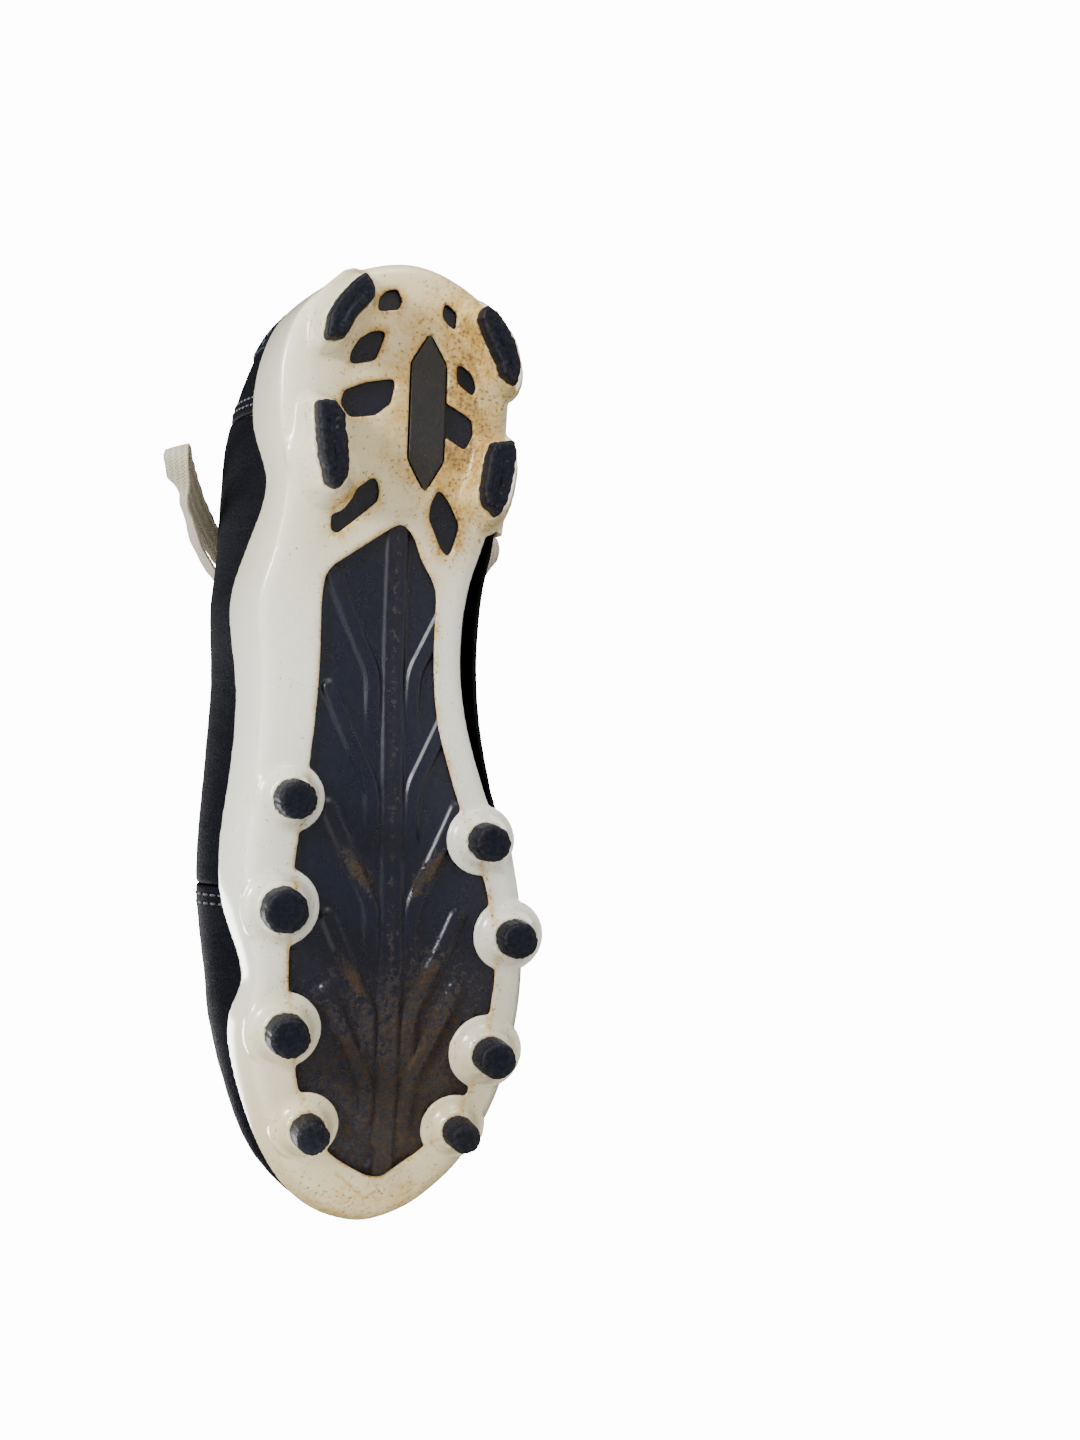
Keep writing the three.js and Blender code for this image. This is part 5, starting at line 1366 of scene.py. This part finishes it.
# Widths of the strand: folded into an eyelet, on the eyestay, across the throat and by the knot.
strandSettings = {"eyelet": 4.6, "stay": 6.8, "under": 7.2, "throat": 7.5, "last": 6.0, "knot": 5.5,
                  "thick": 1.2, "points": 420, "apart": 0.7}
for startSide in (1, -1):
    line, facing, widths = [], [], []

    def lay(s, v, offset, wide):
        line.append(skin(s, v, float(offset)))
        facing.append(formNormal(s, v))
        widths.append(wide)

    for i, s in enumerate(eyeletS):
        side = -startSide if i % 2 else startSide
        v = eyeletV(s)
        if i == 0:
            lay(s, 1, laceOver, strandSettings["throat"])
            lay(side * s, v + 0.07, laceOver, strandSettings["stay"])
            lay(side * s, v, laceOver - 1, strandSettings["eyelet"])
            lay(side * s, v, laceUnder + 1, strandSettings["eyelet"])
        else:
            lay(side * s, v, laceUnder + 0.6, strandSettings["eyelet"])
            lay(side * s, v, laceOver - 1, strandSettings["eyelet"])
        if i + 1 == len(eyeletS):
            lay(side * (s - 0.004), v + 0.07, laceOver, strandSettings["last"])
            lay(side * (s - 0.008), 0.95, laceOver + 1.0, strandSettings["knot"])
            continue
        after = eyeletS[i + 1]
        offset = laceUnder if i == 0 else laceOver
        crossing = (offset + laceUnder) / 2 + startSide * strandSettings["apart"]
        lay(side * (0.8 * s + 0.2 * after), v + 0.075, offset, strandSettings["under"])
        lay(0.5 * s + 0.5 * after, 1, crossing, strandSettings["throat"])
        lay(-side * (0.2 * s + 0.8 * after), eyeletV(after) + 0.075, laceUnder, strandSettings["under"])
    guide = np.column_stack([np.array(line), unit(np.array(facing)), widths])
    smooth = splineThrough(guide, strandSettings["points"])
    ribbon("lace_strand_" + ("lateral" if startSide > 0 else "medial"), smooth[:, :3], smooth[:, 3:6],
           smooth[:, 6], strandSettings["thick"], sides=18)
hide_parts("lace")

# The knot: a band round the middle, a strand that passes through on each side, and a core.
knotSettings = {"long": 5.0, "high": 4.0, "twist": 0.7, "band": (6.6, 1.3), "pass": (5.8, 1.6),
                "core": (6.4, 5.0)}
knotCentre = skin(0.4095, 1.0, 0.7)
turn = np.linspace(0, 2 * math.pi, 60, endpoint=False)
long, twisted, high = knotSettings["long"], knotSettings["twist"], knotSettings["high"]
band = knotCentre + np.stack([long * np.cos(turn), twisted * np.sin(2 * turn), high * np.sin(turn)], -1)
wrap = ribbon("lace_knot_wrap", band, band - knotCentre, *knotSettings["band"], closed=True)
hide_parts("lace_knot")
for side in (1, -1):
    cross = [[-1.5, -5.5 * side, -0.5], [2.2, -2.5 * side, 1.6], [3.0, 1.5 * side, 2.4],
             [1.0, 5.5 * side, 0.6], [-0.6, 8.0 * side, 0.4]]
    line = splineThrough(knotCentre + np.array(cross), 24)
    name = "lace_knot_pass_" + ("lateral" if side > 0 else "medial")
    ribbon(name, line, line - knotCentre + [0, 0, 4.0], *knotSettings["pass"])
coreLine = knotCentre + np.linspace([0, -5, -0.4], [0, 5, -0.4], 24)
ribbon("lace_knot_core", coreLine, np.tile([0, 0, 1.0], (24, 1)), *knotSettings["core"])

print("stitching")
stitchSettings = {"pitch": 3.0, "length": 2.2, "radius": 0.32, "sides": 6, "overlay": 0.78, "skin": 0.05,
                  "heelOverlay": 0.88}
# Along the stitch, its thickness, and how high it stands, as shares.
stitchProfile = np.array([[-0.5, 0.25, -0.3], [-0.4, 0.85, 0.0], [0.0, 1.0, 0.12], [0.4, 0.85, 0.0],
                          [0.5, 0.25, -0.3]])


# A row of stitches along (s, v) stations of the skin.
def stitchRow(ss, vs, offset):
    line = skin(ss, vs, offset)
    normals = formNormal(ss, vs)
    reach = np.sum(np.linalg.norm(np.diff(line, axis=0), axis=1))
    guide = resampled(np.column_stack([line, normals]), max(2, int(reach / stitchSettings["pitch"])))
    centres, normals = guide[:, :3], unit(guide[:, 3:])
    along = unit(np.gradient(centres, axis=0))
    across = np.cross(along, normals)
    sides, radius = stitchSettings["sides"], stitchSettings["radius"]
    turn = np.linspace(0, 2 * math.pi, sides, endpoint=False)[None, None, :, None]
    lengths, thick, high = [stitchProfile[:, k][None, :, None, None] for k in range(3)]
    along, across, normals = [a[:, None, None] for a in (along, across, normals)]
    ringOf = across * np.cos(turn) + normals * 0.8 * np.sin(turn)
    rings = centres[:, None, None] + along * (lengths * stitchSettings["length"])
    rings = rings + normals * (high * radius * 2) + ringOf * (thick * radius)
    one = tubeFaces(len(stitchProfile), sides)
    block = len(stitchProfile) * sides
    faces = [[k + n * block for k in f] for n in range(len(centres)) for f in one]
    return rings.reshape(-1, 3), faces


def stitches(name, rows):
    points, faces, start = [], [], 0
    for row in rows:
        made, faced = stitchRow(*row)
        points.append(made)
        faces += [[k + start for k in f] for f in faced]
        start += len(made)
    return newPiece(name, np.concatenate(points), faces, threadPaint)


onOverlay, onSkin, onHeel = [stitchSettings[key] for key in ("overlay", "skin", "heelOverlay")]
for side, way in (("lateral", 1), ("medial", -1)):
    ss = np.linspace(0.405, 0.634, 80)
    rows = [(way * ss, stayFoot(ss) + 0.022, onOverlay), (way * ss, stayTop(ss) - 0.02, onOverlay)]
    collarS = np.linspace(0.205, 0.4, 70)
    rows.append((way * collarS, topEdge(collarS) - 0.03, onSkin))
    for s in (vampBack + 0.008, vampBack + 0.0155):
        rows.append((np.full(50, way * s), np.linspace(0.08, 0.97, 50), onSkin))
    for s in (heelPanelEnd - 0.009, heelPanelEnd - 0.016):
        rows.append((np.full(50, way * s), np.linspace(0.16, 0.40, 50), onSkin))
    stitches("stitching_" + side, rows)
heelS = np.linspace(-0.19, 0.19, 120)
overS = np.linspace(-0.124, 0.124, 90)
stitches("stitching_heel", [
    (heelS, topEdge(heelS) - 0.03, onSkin), (overS, np.full(90, 0.205), onHeel),
    (overS, overlayTop(overS) - 0.015, onHeel),
])

# Pieces hidden inside keep their solid form and get a finish.
for name in ("lasting_board", "heel_counter", "toe_puff"):
    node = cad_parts[name]
    node.data.materials.clear()
    node.data.materials.append(boardPaint)
